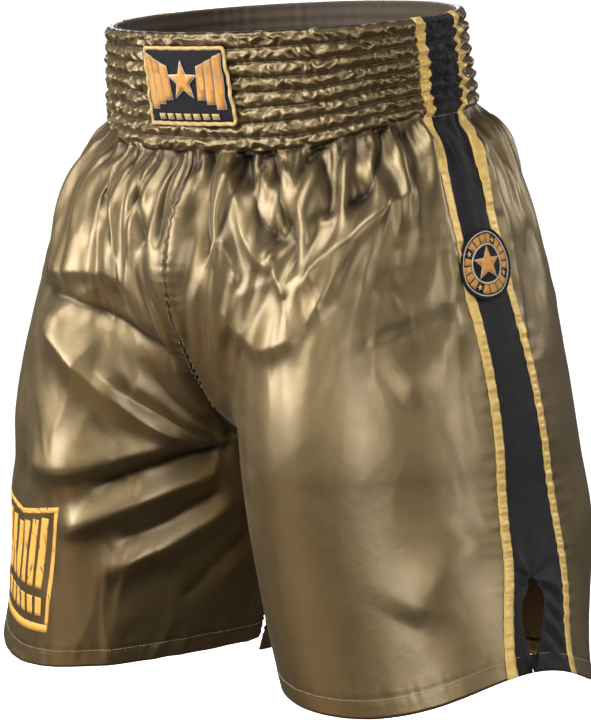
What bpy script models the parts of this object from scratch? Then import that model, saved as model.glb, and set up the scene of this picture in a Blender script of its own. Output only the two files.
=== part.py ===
"""Boxing shorts as worn: a shirred waistband with eight elastics and a lining, two satin fronts, two satin
backs, a dark stripe down each side with a tape over each of its seams, a vent at the foot of each stripe,
a badge on the waistband, a round badge on the left stripe and a print on the right leg.

Metres, +Z up. The wearer faces -Y and the wearer's left is +X. The origin is the middle of the waist
opening. Every piece of cloth follows one shell, which shell_point() gives for the left half.
"""

import math

import bmesh
import bpy
from mathutils import Vector

# The shell.
LENGTH = 0.548  # from the waist's edge to the hem, down the side
BAND_HEIGHT = 0.095  # at the front
BAND_SIDE_SHARE = 0.82  # its height at the sides and back, where the channels lie closer together
BAND_SHARE_COSINES = (0.94, 0.35)  # the cosines of the angles that this change lies between
CROTCH_DEPTH = 0.350
EDGE_HALF_WIDTH = 0.163  # the band is drawn in towards its edge
WAIST_HALF_WIDTH = 0.172  # at the band's foot
WAIST_HALF_DEPTH = 0.1225
WAIST_SLOPE = math.tan(math.radians(6.75))  # the waist is worn lower at the front
SLOPE_END = 0.8  # the share of the body's height where that slope has died out
LEAN_END = 0.63
BODY_BACK = 0.0115  # how far the legs hang behind the waist
HIP_HALF_WIDTH = 0.214
HIP_HALF_DEPTH = 0.1655
HIP_ROW = 0.35  # the share of the body's height where the gathers have opened to the hip
GATHER_RELEASE = 4.7  # how suddenly they open below the band
LEG_TOP_HALF_WIDTH = 0.128
LEG_TOP_HALF_DEPTH = 0.1545
LEG_HEM_HALF_WIDTH = 0.1303
LEG_HEM_HALF_DEPTH = 0.1353
LEG_FORWARD = 0.0015
INSEAM_SPREAD = 0.033  # from the middle to the inseam at the hem
CROTCH_ROW = 0.60  # the share of the body's height where the rise ends and the legs begin
RISE_WIDTH = 0.12  # how far round a half the crotch curve pulls the rows down
HEM_LIFT = 0.034  # the hem is cut higher at the side
HEM_LIFT_CENTRE = 0.455
HEM_LIFT_WIDTH = 0.10

# The cloth pieces: thicknesses, and how far each one's outer face lies out from the shell.
CLOTH = 0.0010
GAP = 0.0005
TAPE_OUT = CLOTH + GAP
PRINT_OUT = TAPE_OUT + GAP
BADGE_OUT = 2 * TAPE_OUT
ELASTIC_GAP = 0.0007  # between a panel and the elastics inside it
ELASTIC_OUT = -CLOTH - ELASTIC_GAP
LINING_OUT = 2 * ELASTIC_OUT

CHANNELS = 8
ELASTIC_WIDTH = 0.0095
LINING_INSET = 0.001

STRIPE_CENTRE = 0.490  # how far round each half the stripe lies, from the front seam to the back seam
STRIPE_SWING = 0.033  # it comes forward over the hip
STRIPE_SWING_ROW = 0.10
STRIPE_REACH_ABOVE = 0.12
STRIPE_REACH_BELOW = 0.27
BAND_LEAN = 0.012  # it leans back on the waistband
STRIPE_HEM_SWING = 0.016  # and comes forward again at the hem
STRIPE_HEM_ROW = 0.75
STRIPE_HALF_BAND = 0.0235
STRIPE_HALF_TOP = 0.0185
STRIPE_BAND_ROWS = 0.25  # the share of the band over which it widens
STRIPE_HALF_HEM = 0.040
STRIPE_FLARE = 1.4
TAPE_WIDTH = 0.0105
VENT_ROW = 0.82
VENT_FORWARD = 0.011  # the vent lies in front of the stripe's middle
VENT_HALF_BELLY = 0.0070
VENT_HALF_ENDS = 0.0012
VENT_ROWS = 6

FRONT_BADGE_WIDTH = 0.092
FRONT_BADGE_HEIGHT = 0.063
FRONT_BADGE_DROP = 0.0095
SIDE_BADGE_RADIUS = 0.027
SIDE_BADGE_ROW = 0.245
PRINT_ROUND = (0.235, 0.41)
PRINT_ROWS = (0.715, 0.945)

# How finely the grids are cut.
BAND_ROWS = 4
BODY_ROWS = 20
PANEL_COLUMNS = 14
RING_SEGMENTS = 36
BADGE_COLUMNS = 8
BADGE_RINGS = 3
BADGE_SEGMENTS = 24
PRINT_DIVISIONS = 8
STEP = 1e-3  # the small change of place that measures a slope

SATIN = ("satin_olive", (0.22, 0.17, 0.085), 0.38, 0.45)
LINING = ("lining_olive", (0.10, 0.075, 0.045), 0.6, 0.1)
STRIPE = ("stripe_black", (0.012, 0.012, 0.016), 0.6, 0.0)
TAPE = ("tape_gold", (0.85, 0.58, 0.16), 0.42, 0.2)
RUBBER = ("elastic_white", (0.75, 0.73, 0.68), 0.8, 0.0)
BADGE = ("badge_black", (0.01, 0.01, 0.015), 0.7, 0.0)
PRINT = ("print_gold", (0.80, 0.40, 0.08), 0.5, 0.1)


def clear_scene():
    for obj in list(bpy.data.objects):
        bpy.data.objects.remove(obj)


def material(finish):
    name, colour, roughness, metallic = finish
    made = bpy.data.materials.get(name)
    if made is None:
        made = bpy.data.materials.new(name)
        made.use_nodes = True
        shader = made.node_tree.nodes["Principled BSDF"]
        shader.inputs["Base Color"].default_value = (*colour, 1.0)
        shader.inputs["Roughness"].default_value = roughness
        shader.inputs["Metallic"].default_value = metallic
    return made


def between(low, high, share):
    return low + (high - low) * share


def smooth(share):
    share = min(max(share, 0.0), 1.0)
    return share * share * (3 - 2 * share)


def band_share(angle):
    """How tall the waistband is at an angle, as a share of its height at the front."""
    near, far = BAND_SHARE_COSINES
    return between(1.0, BAND_SIDE_SHARE, smooth((near - math.cos(angle)) / (near - far)))


def band_point(angle, depth, out=0.0):
    """A point of the waistband. angle runs from 0 at the front to pi at the back, and depth is down from
    the edge as measured at the front, square to the sloping waist."""
    half_width = between(EDGE_HALF_WIDTH, WAIST_HALF_WIDTH, depth / BAND_HEIGHT)
    x = (half_width + out) * math.sin(angle)
    y = -(WAIST_HALF_DEPTH + out) * math.cos(angle)
    drop = depth * band_share(angle)
    return Vector((x, y + WAIST_SLOPE * drop, WAIST_SLOPE * y - drop))


def shell_point(around, down):
    """A point of the left half's shell. around runs from 0 at the front seam to 1 at the back seam.
    down is -1 at the waist's edge, 0 at the band's foot and 1 at the hem."""
    if down < 0:
        return band_point(math.pi * around, BAND_HEIGHT * (1 + down))
    turn = math.pi * around
    opened = 1 - (1 - min(down / HIP_ROW, 1.0)) ** GATHER_RELEASE
    width = between(WAIST_HALF_WIDTH, HIP_HALF_WIDTH, opened)
    depth = between(WAIST_HALF_DEPTH, HIP_HALF_DEPTH, opened)
    hip = Vector((width * math.sin(turn), -depth * math.cos(turn)))

    leg_row = (down - CROTCH_ROW) / (1 - CROTCH_ROW)
    below = max(leg_row, 0.0)
    half_width = between(LEG_TOP_HALF_WIDTH, LEG_HEM_HALF_WIDTH, leg_row)
    half_depth = between(LEG_TOP_HALF_DEPTH, LEG_HEM_HALF_DEPTH, leg_row)
    inseam = INSEAM_SPREAD * below**1.5
    leg_x = inseam + half_width * (1 - math.cos(2 * turn))
    leg = Vector((leg_x, -LEG_FORWARD - half_depth * math.sin(2 * turn)))

    upper = min(down / CROTCH_ROW, 1.0)
    rise = math.sin(upper * math.pi / 2)
    near_seam = math.exp(-((min(around, 1 - around) / RISE_WIDTH) ** 2))
    crotch_curve = 1 - math.sqrt(max(0.0, 1 - rise**3))
    place = hip.lerp(leg, between(smooth(upper), crotch_curve, near_seam))

    foot = BAND_HEIGHT * band_share(turn)
    side_z = -between(foot, LENGTH, down)
    seam_z = -between(foot, CROTCH_DEPTH, rise) - (LENGTH - CROTCH_DEPTH) * below
    from_lift = (around - HEM_LIFT_CENTRE) / HEM_LIFT_WIDTH
    lift = HEM_LIFT * smooth(leg_row) * math.exp(-(from_lift**2))
    slope = WAIST_SLOPE * place.y * max(0.0, 1 - down / SLOPE_END)
    lean = between(WAIST_SLOPE * foot, BODY_BACK, smooth(down / LEAN_END))
    z = between(side_z, seam_z, near_seam) + lift + slope
    return Vector((place.x, place.y + lean, z))


def shell_normal(around, down):
    """The shell's outward direction."""
    low, high = max(down - STEP, -1.0), min(down + STEP, 1.0)
    along = shell_point(around + STEP, down) - shell_point(around - STEP, down)
    fall = shell_point(around, high) - shell_point(around, low)
    return fall.cross(along).normalized()


def cloth_point(around, down, out, side):
    """A point at a distance out from the shell, on side 1 (the wearer's left) or -1 (the right)."""
    point = shell_point(around, down) + shell_normal(around, down) * out
    return Vector((max(point.x, GAP / 2) * side, point.y, point.z))


def metres_around(around, down):
    """How many metres one unit of around is worth there."""
    return (shell_point(around + STEP, down) - shell_point(around - STEP, down)).length / (2 * STEP)


def metres_down(around, down):
    """How many metres one unit of down is worth there, below the band."""
    return (shell_point(around, down + STEP) - shell_point(around, down - STEP)).length / (2 * STEP)


def all_rows():
    """The rows that every long piece shares, closer together beside the vent."""
    band = [-1 + i / BAND_ROWS for i in range(BAND_ROWS)]
    body = [i / BODY_ROWS for i in range(BODY_ROWS) if i / BODY_ROWS < VENT_ROW - 0.5 / BODY_ROWS]
    return band + body + [between(VENT_ROW, 1.0, i / VENT_ROWS) for i in range(VENT_ROWS + 1)]


def link_cloth(name, bm, finish, thickness=CLOTH):
    """Makes an object of a one-layer mesh, and thickens it inwards from that layer."""
    bmesh.ops.recalc_face_normals(bm, faces=bm.faces)
    middle = sum((face.calc_center_median() for face in bm.faces), Vector()) / len(bm.faces)
    outward = sum(face.normal.dot(face.calc_center_median() - middle) for face in bm.faces)
    if outward < 0:
        bmesh.ops.reverse_faces(bm, faces=bm.faces)
    mesh = bpy.data.meshes.new(name)
    bm.to_mesh(mesh)
    bm.free()
    mesh.shade_smooth()
    mesh.materials.append(material(finish))
    obj = bpy.data.objects.new(name, mesh)
    bpy.context.scene.collection.objects.link(obj)
    solidify = obj.modifiers.new("cloth", "SOLIDIFY")
    solidify.thickness = thickness
    solidify.offset = -1
    return obj


def bridge_rows(bm, rows, closed=False, holes=()):
    """Faces between the rows of vertices, without the (row, column) quads in holes."""
    columns = len(rows[0])
    for i in range(len(rows) - 1):
        for j in range(columns if closed else columns - 1):
            k = (j + 1) % columns
            if (i, j) not in holes:
                bm.faces.new((rows[i][j], rows[i][k], rows[i + 1][k], rows[i + 1][j]))


def add_sheet(name, rows, finish, out, side, holes=()):
    """A cloth piece whose rows hold (around, down) places."""
    bm = bmesh.new()
    points = [[bm.verts.new(cloth_point(a, d, out, side)) for a, d in row] for row in rows]
    bridge_rows(bm, points, holes=holes)
    return link_cloth(name, bm, finish)


def stripe_middle(down):
    reach = STRIPE_REACH_ABOVE if down < STRIPE_SWING_ROW else STRIPE_REACH_BELOW
    swing = STRIPE_SWING * math.exp(-(((down - STRIPE_SWING_ROW) / reach) ** 2))
    hem_swing = STRIPE_HEM_SWING * smooth((down - STRIPE_HEM_ROW) / (1 - STRIPE_HEM_ROW))
    return STRIPE_CENTRE - swing - hem_swing + BAND_LEAN * smooth(-down)


def stripe_half_width(down):
    if down < 0:
        return between(STRIPE_HALF_TOP, STRIPE_HALF_BAND, smooth(-down / STRIPE_BAND_ROWS))
    return between(STRIPE_HALF_TOP, STRIPE_HALF_HEM, down**STRIPE_FLARE)


def stripe_seams(down):
    """Where a side stripe's front and back seams lie round the half."""
    middle = stripe_middle(down)
    half = stripe_half_width(down) / metres_around(middle, down)
    return middle - half, middle + half


def panel_row(low, high, down):
    """One row of a panel, short of the seam at each end by half the gap."""
    low += GAP / 2 / metres_around(low, down)
    high -= GAP / 2 / metres_around(high, down)
    return [(between(low, high, j / PANEL_COLUMNS), down) for j in range(PANEL_COLUMNS + 1)]


def add_panels(side, word):
    front = [panel_row(0.0, stripe_seams(down)[0], down) for down in all_rows()]
    back = [panel_row(stripe_seams(down)[1], 1.0, down) for down in all_rows()]
    add_sheet("front_panel_" + word, front, SATIN, 0.0, side)
    add_sheet("back_panel_" + word, back, SATIN, 0.0, side)


def add_stripe(side, word):
    """The dark side piece, with a vent from the hem up that is widest in its middle."""
    rows = []
    for down in all_rows():
        middle = stripe_middle(down)
        metres = metres_around(middle, down)
        belly = math.sin(math.pi * max(0.0, down - VENT_ROW) / (1 - VENT_ROW))
        vent = between(VENT_HALF_ENDS, VENT_HALF_BELLY, max(belly, 0.0)) / metres
        half = (stripe_half_width(down) - GAP / 2) / metres
        front = -VENT_FORWARD / metres - vent
        rear = -VENT_FORWARD / metres + vent
        places = (-half, (front - half) / 2, front, rear, (rear + half) / 2, half)
        rows.append([(middle + place, down) for place in places])
    vent_column = 2
    vent = [(len(rows) - 2 - i, vent_column) for i in range(VENT_ROWS)]
    add_sheet("side_stripe_" + word, rows, STRIPE, 0.0, side, holes=vent)


def add_tapes(side, word):
    """A tape over each seam of the stripe, from the waist's edge to the hem."""
    for which, place in enumerate(("front", "rear")):
        rows = []
        for down in all_rows():
            seam = stripe_seams(down)[which]
            half = TAPE_WIDTH / 2 / metres_around(seam, down)
            rows.append([(seam - half, down), (seam, down), (seam + half, down)])
        add_sheet(f"{place}_tape_{word}", rows, TAPE, TAPE_OUT, side)


def add_waist_ring(name, finish, out, top, foot):
    """A closed ring inside the waistband, between two depths below the waist's edge."""
    bm = bmesh.new()
    angles = [2 * math.pi * i / RING_SEGMENTS for i in range(RING_SEGMENTS)]
    rows = [[bm.verts.new(band_point(a, depth, out)) for a in angles] for depth in (top, foot)]
    bridge_rows(bm, rows, closed=True)
    return link_cloth(name, bm, finish)


def add_waistband():
    add_waist_ring("waistband_lining", LINING, LINING_OUT, LINING_INSET, BAND_HEIGHT - LINING_INSET)
    channel = BAND_HEIGHT / CHANNELS
    for i in range(CHANNELS):
        top = i * channel + (channel - ELASTIC_WIDTH) / 2
        add_waist_ring(f"elastic_{i + 1}", RUBBER, ELASTIC_OUT, top, top + ELASTIC_WIDTH)


def add_front_badge():
    """The rectangular badge, curved round the middle of the waistband."""
    bm = bmesh.new()
    half_turn = FRONT_BADGE_WIDTH / 2 / WAIST_HALF_WIDTH
    angles = [between(-half_turn, half_turn, j / BADGE_COLUMNS) for j in range(BADGE_COLUMNS + 1)]
    depths = (FRONT_BADGE_DROP, FRONT_BADGE_DROP + FRONT_BADGE_HEIGHT)
    rows = [[bm.verts.new(band_point(a, depth, TAPE_OUT)) for a in angles] for depth in depths]
    bridge_rows(bm, rows)
    return link_cloth("front_badge", bm, BADGE)


def add_side_badge():
    """The round badge on the left stripe, as rings of points laid on the shell about its centre."""
    middle = stripe_middle(SIDE_BADGE_ROW)
    across = metres_around(middle, SIDE_BADGE_ROW)
    downwards = metres_down(middle, SIDE_BADGE_ROW)
    bm = bmesh.new()
    rings = []
    for r in range(1, BADGE_RINGS + 1):
        radius = SIDE_BADGE_RADIUS * r / BADGE_RINGS
        ring = []
        for i in range(BADGE_SEGMENTS):
            turn = 2 * math.pi * i / BADGE_SEGMENTS
            around = middle + radius * math.cos(turn) / across
            down = SIDE_BADGE_ROW + radius * math.sin(turn) / downwards
            ring.append(bm.verts.new(cloth_point(around, down, BADGE_OUT, 1)))
        rings.append(ring)
    bridge_rows(bm, rings, closed=True)
    bm.faces.new(rings[0])
    return link_cloth("side_badge", bm, BADGE)


def add_print():
    """The printed film on the right leg's front, near the hem."""
    shares = [i / PRINT_DIVISIONS for i in range(PRINT_DIVISIONS + 1)]
    rows = [[(between(*PRINT_ROUND, a), between(*PRINT_ROWS, d)) for a in shares] for d in shares]
    return add_sheet("leg_print_right", rows, PRINT, PRINT_OUT, -1)


def main():
    clear_scene()
    for side, word in ((1, "left"), (-1, "right")):
        add_panels(side, word)
        add_stripe(side, word)
        add_tapes(side, word)
    add_waistband()
    add_front_badge()
    add_side_badge()
    add_print()


main()
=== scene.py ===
"""Boxing shorts: the looks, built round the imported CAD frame. Metres, +Z up, the wearer faces -Y."""

import math

import bmesh
import bpy
import numpy as np
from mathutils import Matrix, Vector


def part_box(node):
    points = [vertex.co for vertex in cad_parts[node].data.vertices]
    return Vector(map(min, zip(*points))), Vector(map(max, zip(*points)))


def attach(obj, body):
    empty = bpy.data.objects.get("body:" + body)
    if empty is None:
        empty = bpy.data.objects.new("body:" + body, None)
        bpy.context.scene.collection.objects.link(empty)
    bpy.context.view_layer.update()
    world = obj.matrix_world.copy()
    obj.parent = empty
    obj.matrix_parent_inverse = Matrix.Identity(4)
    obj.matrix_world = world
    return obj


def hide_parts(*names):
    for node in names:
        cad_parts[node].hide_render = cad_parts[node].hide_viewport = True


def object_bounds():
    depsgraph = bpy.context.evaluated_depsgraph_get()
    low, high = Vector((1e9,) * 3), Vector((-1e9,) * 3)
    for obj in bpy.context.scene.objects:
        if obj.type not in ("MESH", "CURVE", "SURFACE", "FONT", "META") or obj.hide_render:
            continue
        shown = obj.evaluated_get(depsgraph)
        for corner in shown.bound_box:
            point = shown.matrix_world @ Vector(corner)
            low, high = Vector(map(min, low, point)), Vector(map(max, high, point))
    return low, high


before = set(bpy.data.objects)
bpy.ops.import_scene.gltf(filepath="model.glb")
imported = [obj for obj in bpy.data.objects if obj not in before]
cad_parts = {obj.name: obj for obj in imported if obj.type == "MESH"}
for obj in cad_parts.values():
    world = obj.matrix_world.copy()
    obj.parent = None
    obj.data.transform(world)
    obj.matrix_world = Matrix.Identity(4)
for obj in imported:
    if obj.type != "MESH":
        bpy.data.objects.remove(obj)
CAD_LOW, CAD_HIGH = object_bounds()

# ---------------------------------------------------------------- the CAD's shell, which every piece follows
LINING_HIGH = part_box("waistband_lining")[1]
LINING_IN = 0.0035  # how far inside the panels the lining lies
EDGE_IN = 0.009  # how much narrower the waist is at its edge than at the band's foot
WAIST_HALF_WIDTH = LINING_HIGH.x + LINING_IN
EDGE_HALF_WIDTH = WAIST_HALF_WIDTH - EDGE_IN
WAIST_HALF_DEPTH = 0.1225
BAND_HEIGHT = 0.095
BAND_SIDE_SHARE = 0.82  # the band's height at the sides, as a share of its height at the front
BAND_SHARE_COSINES = (0.94, 0.35)  # the cosines of the angles between which it gets there
LENGTH = 0.548
CROTCH_DEPTH = 0.350
WAIST_SLOPE = math.tan(math.radians(6.75))
SLOPE_END = 0.8  # the row down to which the waist's slope is felt
LEAN_END = 0.63
BODY_BACK = 0.0115  # how far back of the waist the legs hang
HIP_HALF_WIDTH, HIP_HALF_DEPTH = 0.214, 0.1655
HIP_ROW = 0.35
GATHER_RELEASE = 4.7  # how quickly the cloth widens below the band
LEG_TOP_HALF = (0.128, 0.1545)
LEG_HEM_HALF = (0.1303, 0.1353)
LEG_FORWARD = 0.0015
INSEAM_SPREAD = 0.033
CROTCH_ROW = 0.60
RISE_WIDTH = 0.12
HEM_LIFT, HEM_LIFT_CENTRE, HEM_LIFT_WIDTH = 0.034, 0.455, 0.10
STRIPE_CENTRE, STRIPE_SWING, STRIPE_SWING_ROW = 0.490, 0.033, 0.10
STRIPE_REACH_ABOVE, STRIPE_REACH_BELOW = 0.12, 0.27
BAND_LEAN = 0.012
STRIPE_HEM_SWING, STRIPE_HEM_ROW = 0.016, 0.75
STRIPE_HALF_BAND, STRIPE_HALF_TOP, STRIPE_BAND_ROWS = 0.0235, 0.0185, 0.25
STRIPE_HALF_HEM, STRIPE_FLARE = 0.040, 1.4

COLUMNS = 140  # of each half in the simulated cloth
ROWS = 85
CROTCH_INDEX = round(CROTCH_ROW * ROWS)


def between(low, high, share):
    return low + (high - low) * share


def smooth(share):
    share = np.clip(share, 0.0, 1.0)
    return share * share * (3 - 2 * share)


def bell(distance):
    """1 where the distance is 0, about a third where it is 1, and soon nothing."""
    return np.exp(-(distance**2))


def unit(vectors):
    return vectors / np.maximum(np.linalg.norm(vectors, axis=-1, keepdims=True), 1e-12)


def quads_of(numbers, flip=False):
    """The quads of a grid of vertex numbers, wound the other way round where flip is true."""
    corners = [numbers[:-1, :-1], numbers[1:, :-1], numbers[1:, 1:], numbers[:-1, 1:]]
    quads = np.stack(corners, axis=-1).reshape(-1, 4)
    return (quads[:, ::-1] if flip else quads).tolist()


def band_share(angle):
    """How tall the waistband is at an angle, as a share of its height at the front."""
    near, far = BAND_SHARE_COSINES
    return between(1.0, BAND_SIDE_SHARE, smooth((near - np.cos(angle)) / (near - far)))


def band_point(angle, depth, out=0.0):
    """Points of the waistband; angle 0 is the front, and depth runs down from the edge."""
    x = (between(EDGE_HALF_WIDTH, WAIST_HALF_WIDTH, depth / BAND_HEIGHT) + out) * np.sin(angle)
    y = -(WAIST_HALF_DEPTH + out) * np.cos(angle)
    drop = depth * band_share(angle)
    return np.stack([x, y + WAIST_SLOPE * drop, WAIST_SLOPE * y - drop], axis=-1)


def band_normal(angle):
    """Outward unit normals of the waistband."""
    step = 1e-4
    middle = BAND_HEIGHT / 2 + 0 * angle
    along = band_point(angle + step, middle) - band_point(angle - step, middle)
    fall = band_point(angle, middle + step) - band_point(angle, middle - step)
    return unit(np.cross(fall, along))


def shell_point(around, down, gathered=True):
    """Points of the left half below the band. Without gathered, the cloth is as wide at the top as at the
    hip, which is how it was cut."""
    around, down = np.broadcast_arrays(np.asarray(around, float), np.asarray(down, float))
    turn = math.pi * around
    opened = 1 - (1 - np.minimum(down / HIP_ROW, 1.0)) ** GATHER_RELEASE
    if not gathered:
        opened = np.ones_like(opened)
    width = between(WAIST_HALF_WIDTH, HIP_HALF_WIDTH, opened)
    depth = between(WAIST_HALF_DEPTH, HIP_HALF_DEPTH, opened)
    hip = np.stack([width * np.sin(turn), -depth * np.cos(turn)], axis=-1)

    leg_row = (down - CROTCH_ROW) / (1 - CROTCH_ROW)
    below = np.maximum(leg_row, 0.0)
    half_width = between(LEG_TOP_HALF[0], LEG_HEM_HALF[0], leg_row)
    half_depth = between(LEG_TOP_HALF[1], LEG_HEM_HALF[1], leg_row)
    leg_x = INSEAM_SPREAD * below**1.5 + half_width * (1 - np.cos(2 * turn))
    leg = np.stack([leg_x, -LEG_FORWARD - half_depth * np.sin(2 * turn)], axis=-1)

    upper = np.minimum(down / CROTCH_ROW, 1.0)
    rise = np.sin(upper * math.pi / 2)
    near_seam = bell(np.minimum(around, 1 - around) / RISE_WIDTH)
    crotch_curve = 1 - np.sqrt(np.maximum(0.0, 1 - rise**3))
    share = between(smooth(upper), crotch_curve, near_seam)[..., None]
    place = hip + (leg - hip) * share

    foot = BAND_HEIGHT * band_share(turn)
    side_z = -between(foot, LENGTH, down)
    seam_z = -between(foot, CROTCH_DEPTH, rise) - (LENGTH - CROTCH_DEPTH) * below
    lift = HEM_LIFT * smooth(leg_row) * bell((around - HEM_LIFT_CENTRE) / HEM_LIFT_WIDTH)
    slope = WAIST_SLOPE * place[..., 1] * np.maximum(0.0, 1 - down / SLOPE_END)
    lean = between(WAIST_SLOPE * foot, BODY_BACK, smooth(down / LEAN_END))
    z = between(side_z, seam_z, near_seam) + lift + slope
    return np.stack([place[..., 0], place[..., 1] + lean, z], axis=-1)


def grid_normals(points):
    """Outward unit normals of a (rows, columns, 3) grid whose rows run down and columns run round."""
    fall = np.gradient(points, axis=0)
    along = np.gradient(points, axis=1)
    return unit(np.cross(fall, along))


# ---------------------------------------------------------------- the cloth simulation
GATHER_COUNT, GATHER_SEED = 40, 5
FOOT_OUT, FOOT_WAVE = 0.0006, 0.0010  # how the cloth leaves the band
START_WAVE, START_BULGE = 0.0045, 0.0035  # how it stands out a little lower, before it falls
LOOSE_TOP, LOOSE_FOOT, LOOSE_LENGTH = 1.10, 1.015, 1.035  # the cut cloth's size against the shell's


def waves(angle, count, seed):
    """Irregular gathers round the waist, between -1 and 1."""
    local = np.random.default_rng(seed)
    drift = sum(
        local.uniform(0.3, 0.9) * np.sin(n * angle + local.uniform(0, 6.28)) for n in (3, 5, 8, 13)
    )
    strength = 0.75 + 0.25 * sum(
        0.6 * np.sin(n * angle + local.uniform(0, 6.28)) for n in (7, 11, 17)
    )
    return np.sin(count * angle + 1.6 * drift) * strength


def start_grids():
    """Where each half of the cloth starts, gathered at the top, and the shape it was cut to."""
    around = np.linspace(0, 1, COLUMNS + 1)[None, :]
    down = np.linspace(0, 1, ROWS + 1)[:, None]
    starts, cuts = {}, {}
    for side in (1, -1):
        points = shell_point(around, down)
        normals = grid_normals(points)
        top = band_normal(math.pi * around)
        normals = unit(top + (normals - top) * smooth(down / 0.08)[..., None])
        wave = waves(side * math.pi * around, GATHER_COUNT, GATHER_SEED)
        deepen = smooth(down / 0.03)
        fade = bell(down / 0.16) + 0.22 * bell(down / 0.55) * deepen
        bulge = FOOT_OUT * (1 - smooth(down / 0.3)) + START_BULGE * deepen * bell((down - 0.04) / 0.05)
        points = points + normals * (between(FOOT_WAVE, START_WAVE, deepen) * fade * wave + bulge)[..., None]
        for seam in (0, -1):
            points[:, seam, 0] = np.where(down[:, 0] < CROTCH_ROW, 0.0, points[:, seam, 0])
        cut = shell_point(around, down, gathered=False)
        loose = between(LOOSE_TOP, LOOSE_FOOT, smooth(down / 0.7))
        cut = np.stack([cut[..., 0] * loose, cut[..., 1] * loose, cut[..., 2] * LOOSE_LENGTH], axis=-1)
        starts[side] = points * [side, 1, 1]
        cuts[side] = cut * [side, 1, 1]
    return starts, cuts


def vertex_numbers():
    """The vertex number of each grid place: the halves share their seams down to the crotch, and each
    leg shares its inseam below it."""
    numbers = {side: np.full((ROWS + 1, COLUMNS + 1), -1) for side in (1, -1)}
    count = 0
    for i in range(ROWS + 1):
        for side in (1, -1):
            for j in range(COLUMNS + 1):
                edge = j in (0, COLUMNS)
                if edge and side == -1 and i <= CROTCH_INDEX:
                    numbers[side][i, j] = numbers[1][i, j]
                elif j == COLUMNS and i >= CROTCH_INDEX:
                    numbers[side][i, j] = numbers[side][i, 0]
                else:
                    numbers[side][i, j] = count
                    count += 1
    return numbers, count


def drape():
    """Runs the cloth and returns each half's grid of points."""
    starts, cuts = start_grids()
    numbers, count = vertex_numbers()
    place, rest = np.zeros((count, 3)), np.zeros((count, 3))
    faces = []
    for side in (1, -1):
        place[numbers[side].ravel()] = starts[side].reshape(-1, 3)
        rest[numbers[side].ravel()] = cuts[side].reshape(-1, 3)
        faces.extend(quads_of(numbers[side], flip=side < 0))
    mesh = bpy.data.meshes.new("drape")
    mesh.from_pydata(place.tolist(), [], faces)
    cloth_object = bpy.data.objects.new("drape", mesh)
    bpy.context.scene.collection.objects.link(cloth_object)
    cloth_object.shape_key_add(name="Basis")
    cut_key = cloth_object.shape_key_add(name="cut")
    cut_key.data.foreach_set("co", rest.ravel())
    pinned = cloth_object.vertex_groups.new(name="band")
    top = np.unique(np.concatenate([numbers[side][0] for side in (1, -1)]))
    pinned.add(top.tolist(), 1.0, "REPLACE")

    body = wearer()
    cloth = cloth_object.modifiers.new("cloth", "CLOTH")
    for setting, value in SATIN_SETTINGS.items():
        setattr(cloth.settings, setting, value)
    cloth.settings.vertex_group_mass = "band"
    cloth.settings.rest_shape_key = cut_key
    cloth.settings.effector_weights.gravity = 0.6
    cloth.collision_settings.distance_min = 0.002
    cloth.collision_settings.use_self_collision = False
    cloth.point_cache.frame_start = 1
    cloth.point_cache.frame_end = SIM_FRAMES
    for number in range(1, SIM_FRAMES + 1):
        bpy.context.scene.frame_set(number)
    graph = bpy.context.evaluated_depsgraph_get()
    evaluated = cloth_object.evaluated_get(graph)
    settled = np.empty(count * 3, np.float32)
    evaluated.data.vertices.foreach_get("co", settled)
    settled = settled.reshape(-1, 3).astype(float)
    bpy.context.scene.frame_set(1)
    bpy.data.objects.remove(cloth_object)
    bpy.data.objects.remove(body)
    return {side: settled[numbers[side]] for side in (1, -1)}


SIM_FRAMES = 45
BODY_INSET = 0.011
SATIN_SETTINGS = {
    "quality": 6,
    "mass": 0.05,
    "tension_stiffness": 25,
    "compression_stiffness": 25,
    "shear_stiffness": 4,
    "bending_model": "ANGULAR",
    "bending_stiffness": 0.12,
    "tension_damping": 6,
    "compression_damping": 6,
    "shear_damping": 4,
    "air_damping": 2.5,
}


def wearer():
    """The body that fills the shorts while they drape: the shell, drawn in. It is removed afterwards."""
    around = np.linspace(0, 1, 61)[None, :]
    down = np.linspace(-0.02, 1.0, 41)[:, None]
    points = shell_point(around, np.maximum(down, 0.0))
    points = points - grid_normals(points) * BODY_INSET
    points[..., 0] = np.maximum(points[..., 0], 0.002)
    points[..., 2] = np.where(down < 0, points[..., 2] + 0.012, points[..., 2])
    vertices, faces = [], []
    for side in (1, -1):
        numbers = len(vertices) + np.arange(points[..., 0].size).reshape(points.shape[:2])
        vertices.extend((points * [side, 1, 1]).reshape(-1, 3).tolist())
        faces.extend(quads_of(numbers, flip=side < 0))
    mesh = bpy.data.meshes.new("wearer")
    mesh.from_pydata(vertices, [], faces)
    body = bpy.data.objects.new("wearer", mesh)
    bpy.context.scene.collection.objects.link(body)
    body.modifiers.new("collision", "COLLISION")
    body.collision.thickness_outer = 0.001
    body.collision.cloth_friction = 4
    return body


grids = drape()


# ---------------------------------------------------------------- folds from the drape, shape from the shell
def with_neighbours(values, reach):
    """Each half's grid of values, widened by what lies past its seams: the other half above the crotch,
    and the same leg below it."""
    wide = {}
    for side in (1, -1):
        own, other = values[side], values[-side]
        before = np.where(above_crotch_rows, other[:, 1 : reach + 1][:, ::-1], own[:, -reach - 1 : -1])
        after = np.where(above_crotch_rows, other[:, -reach - 1 : -1][:, ::-1], own[:, 1 : reach + 1])
        wide[side] = np.concatenate([before, own, after], axis=1)
    return wide


above_crotch_rows = (np.arange(ROWS + 1) <= CROTCH_INDEX)[:, None, None]


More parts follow.
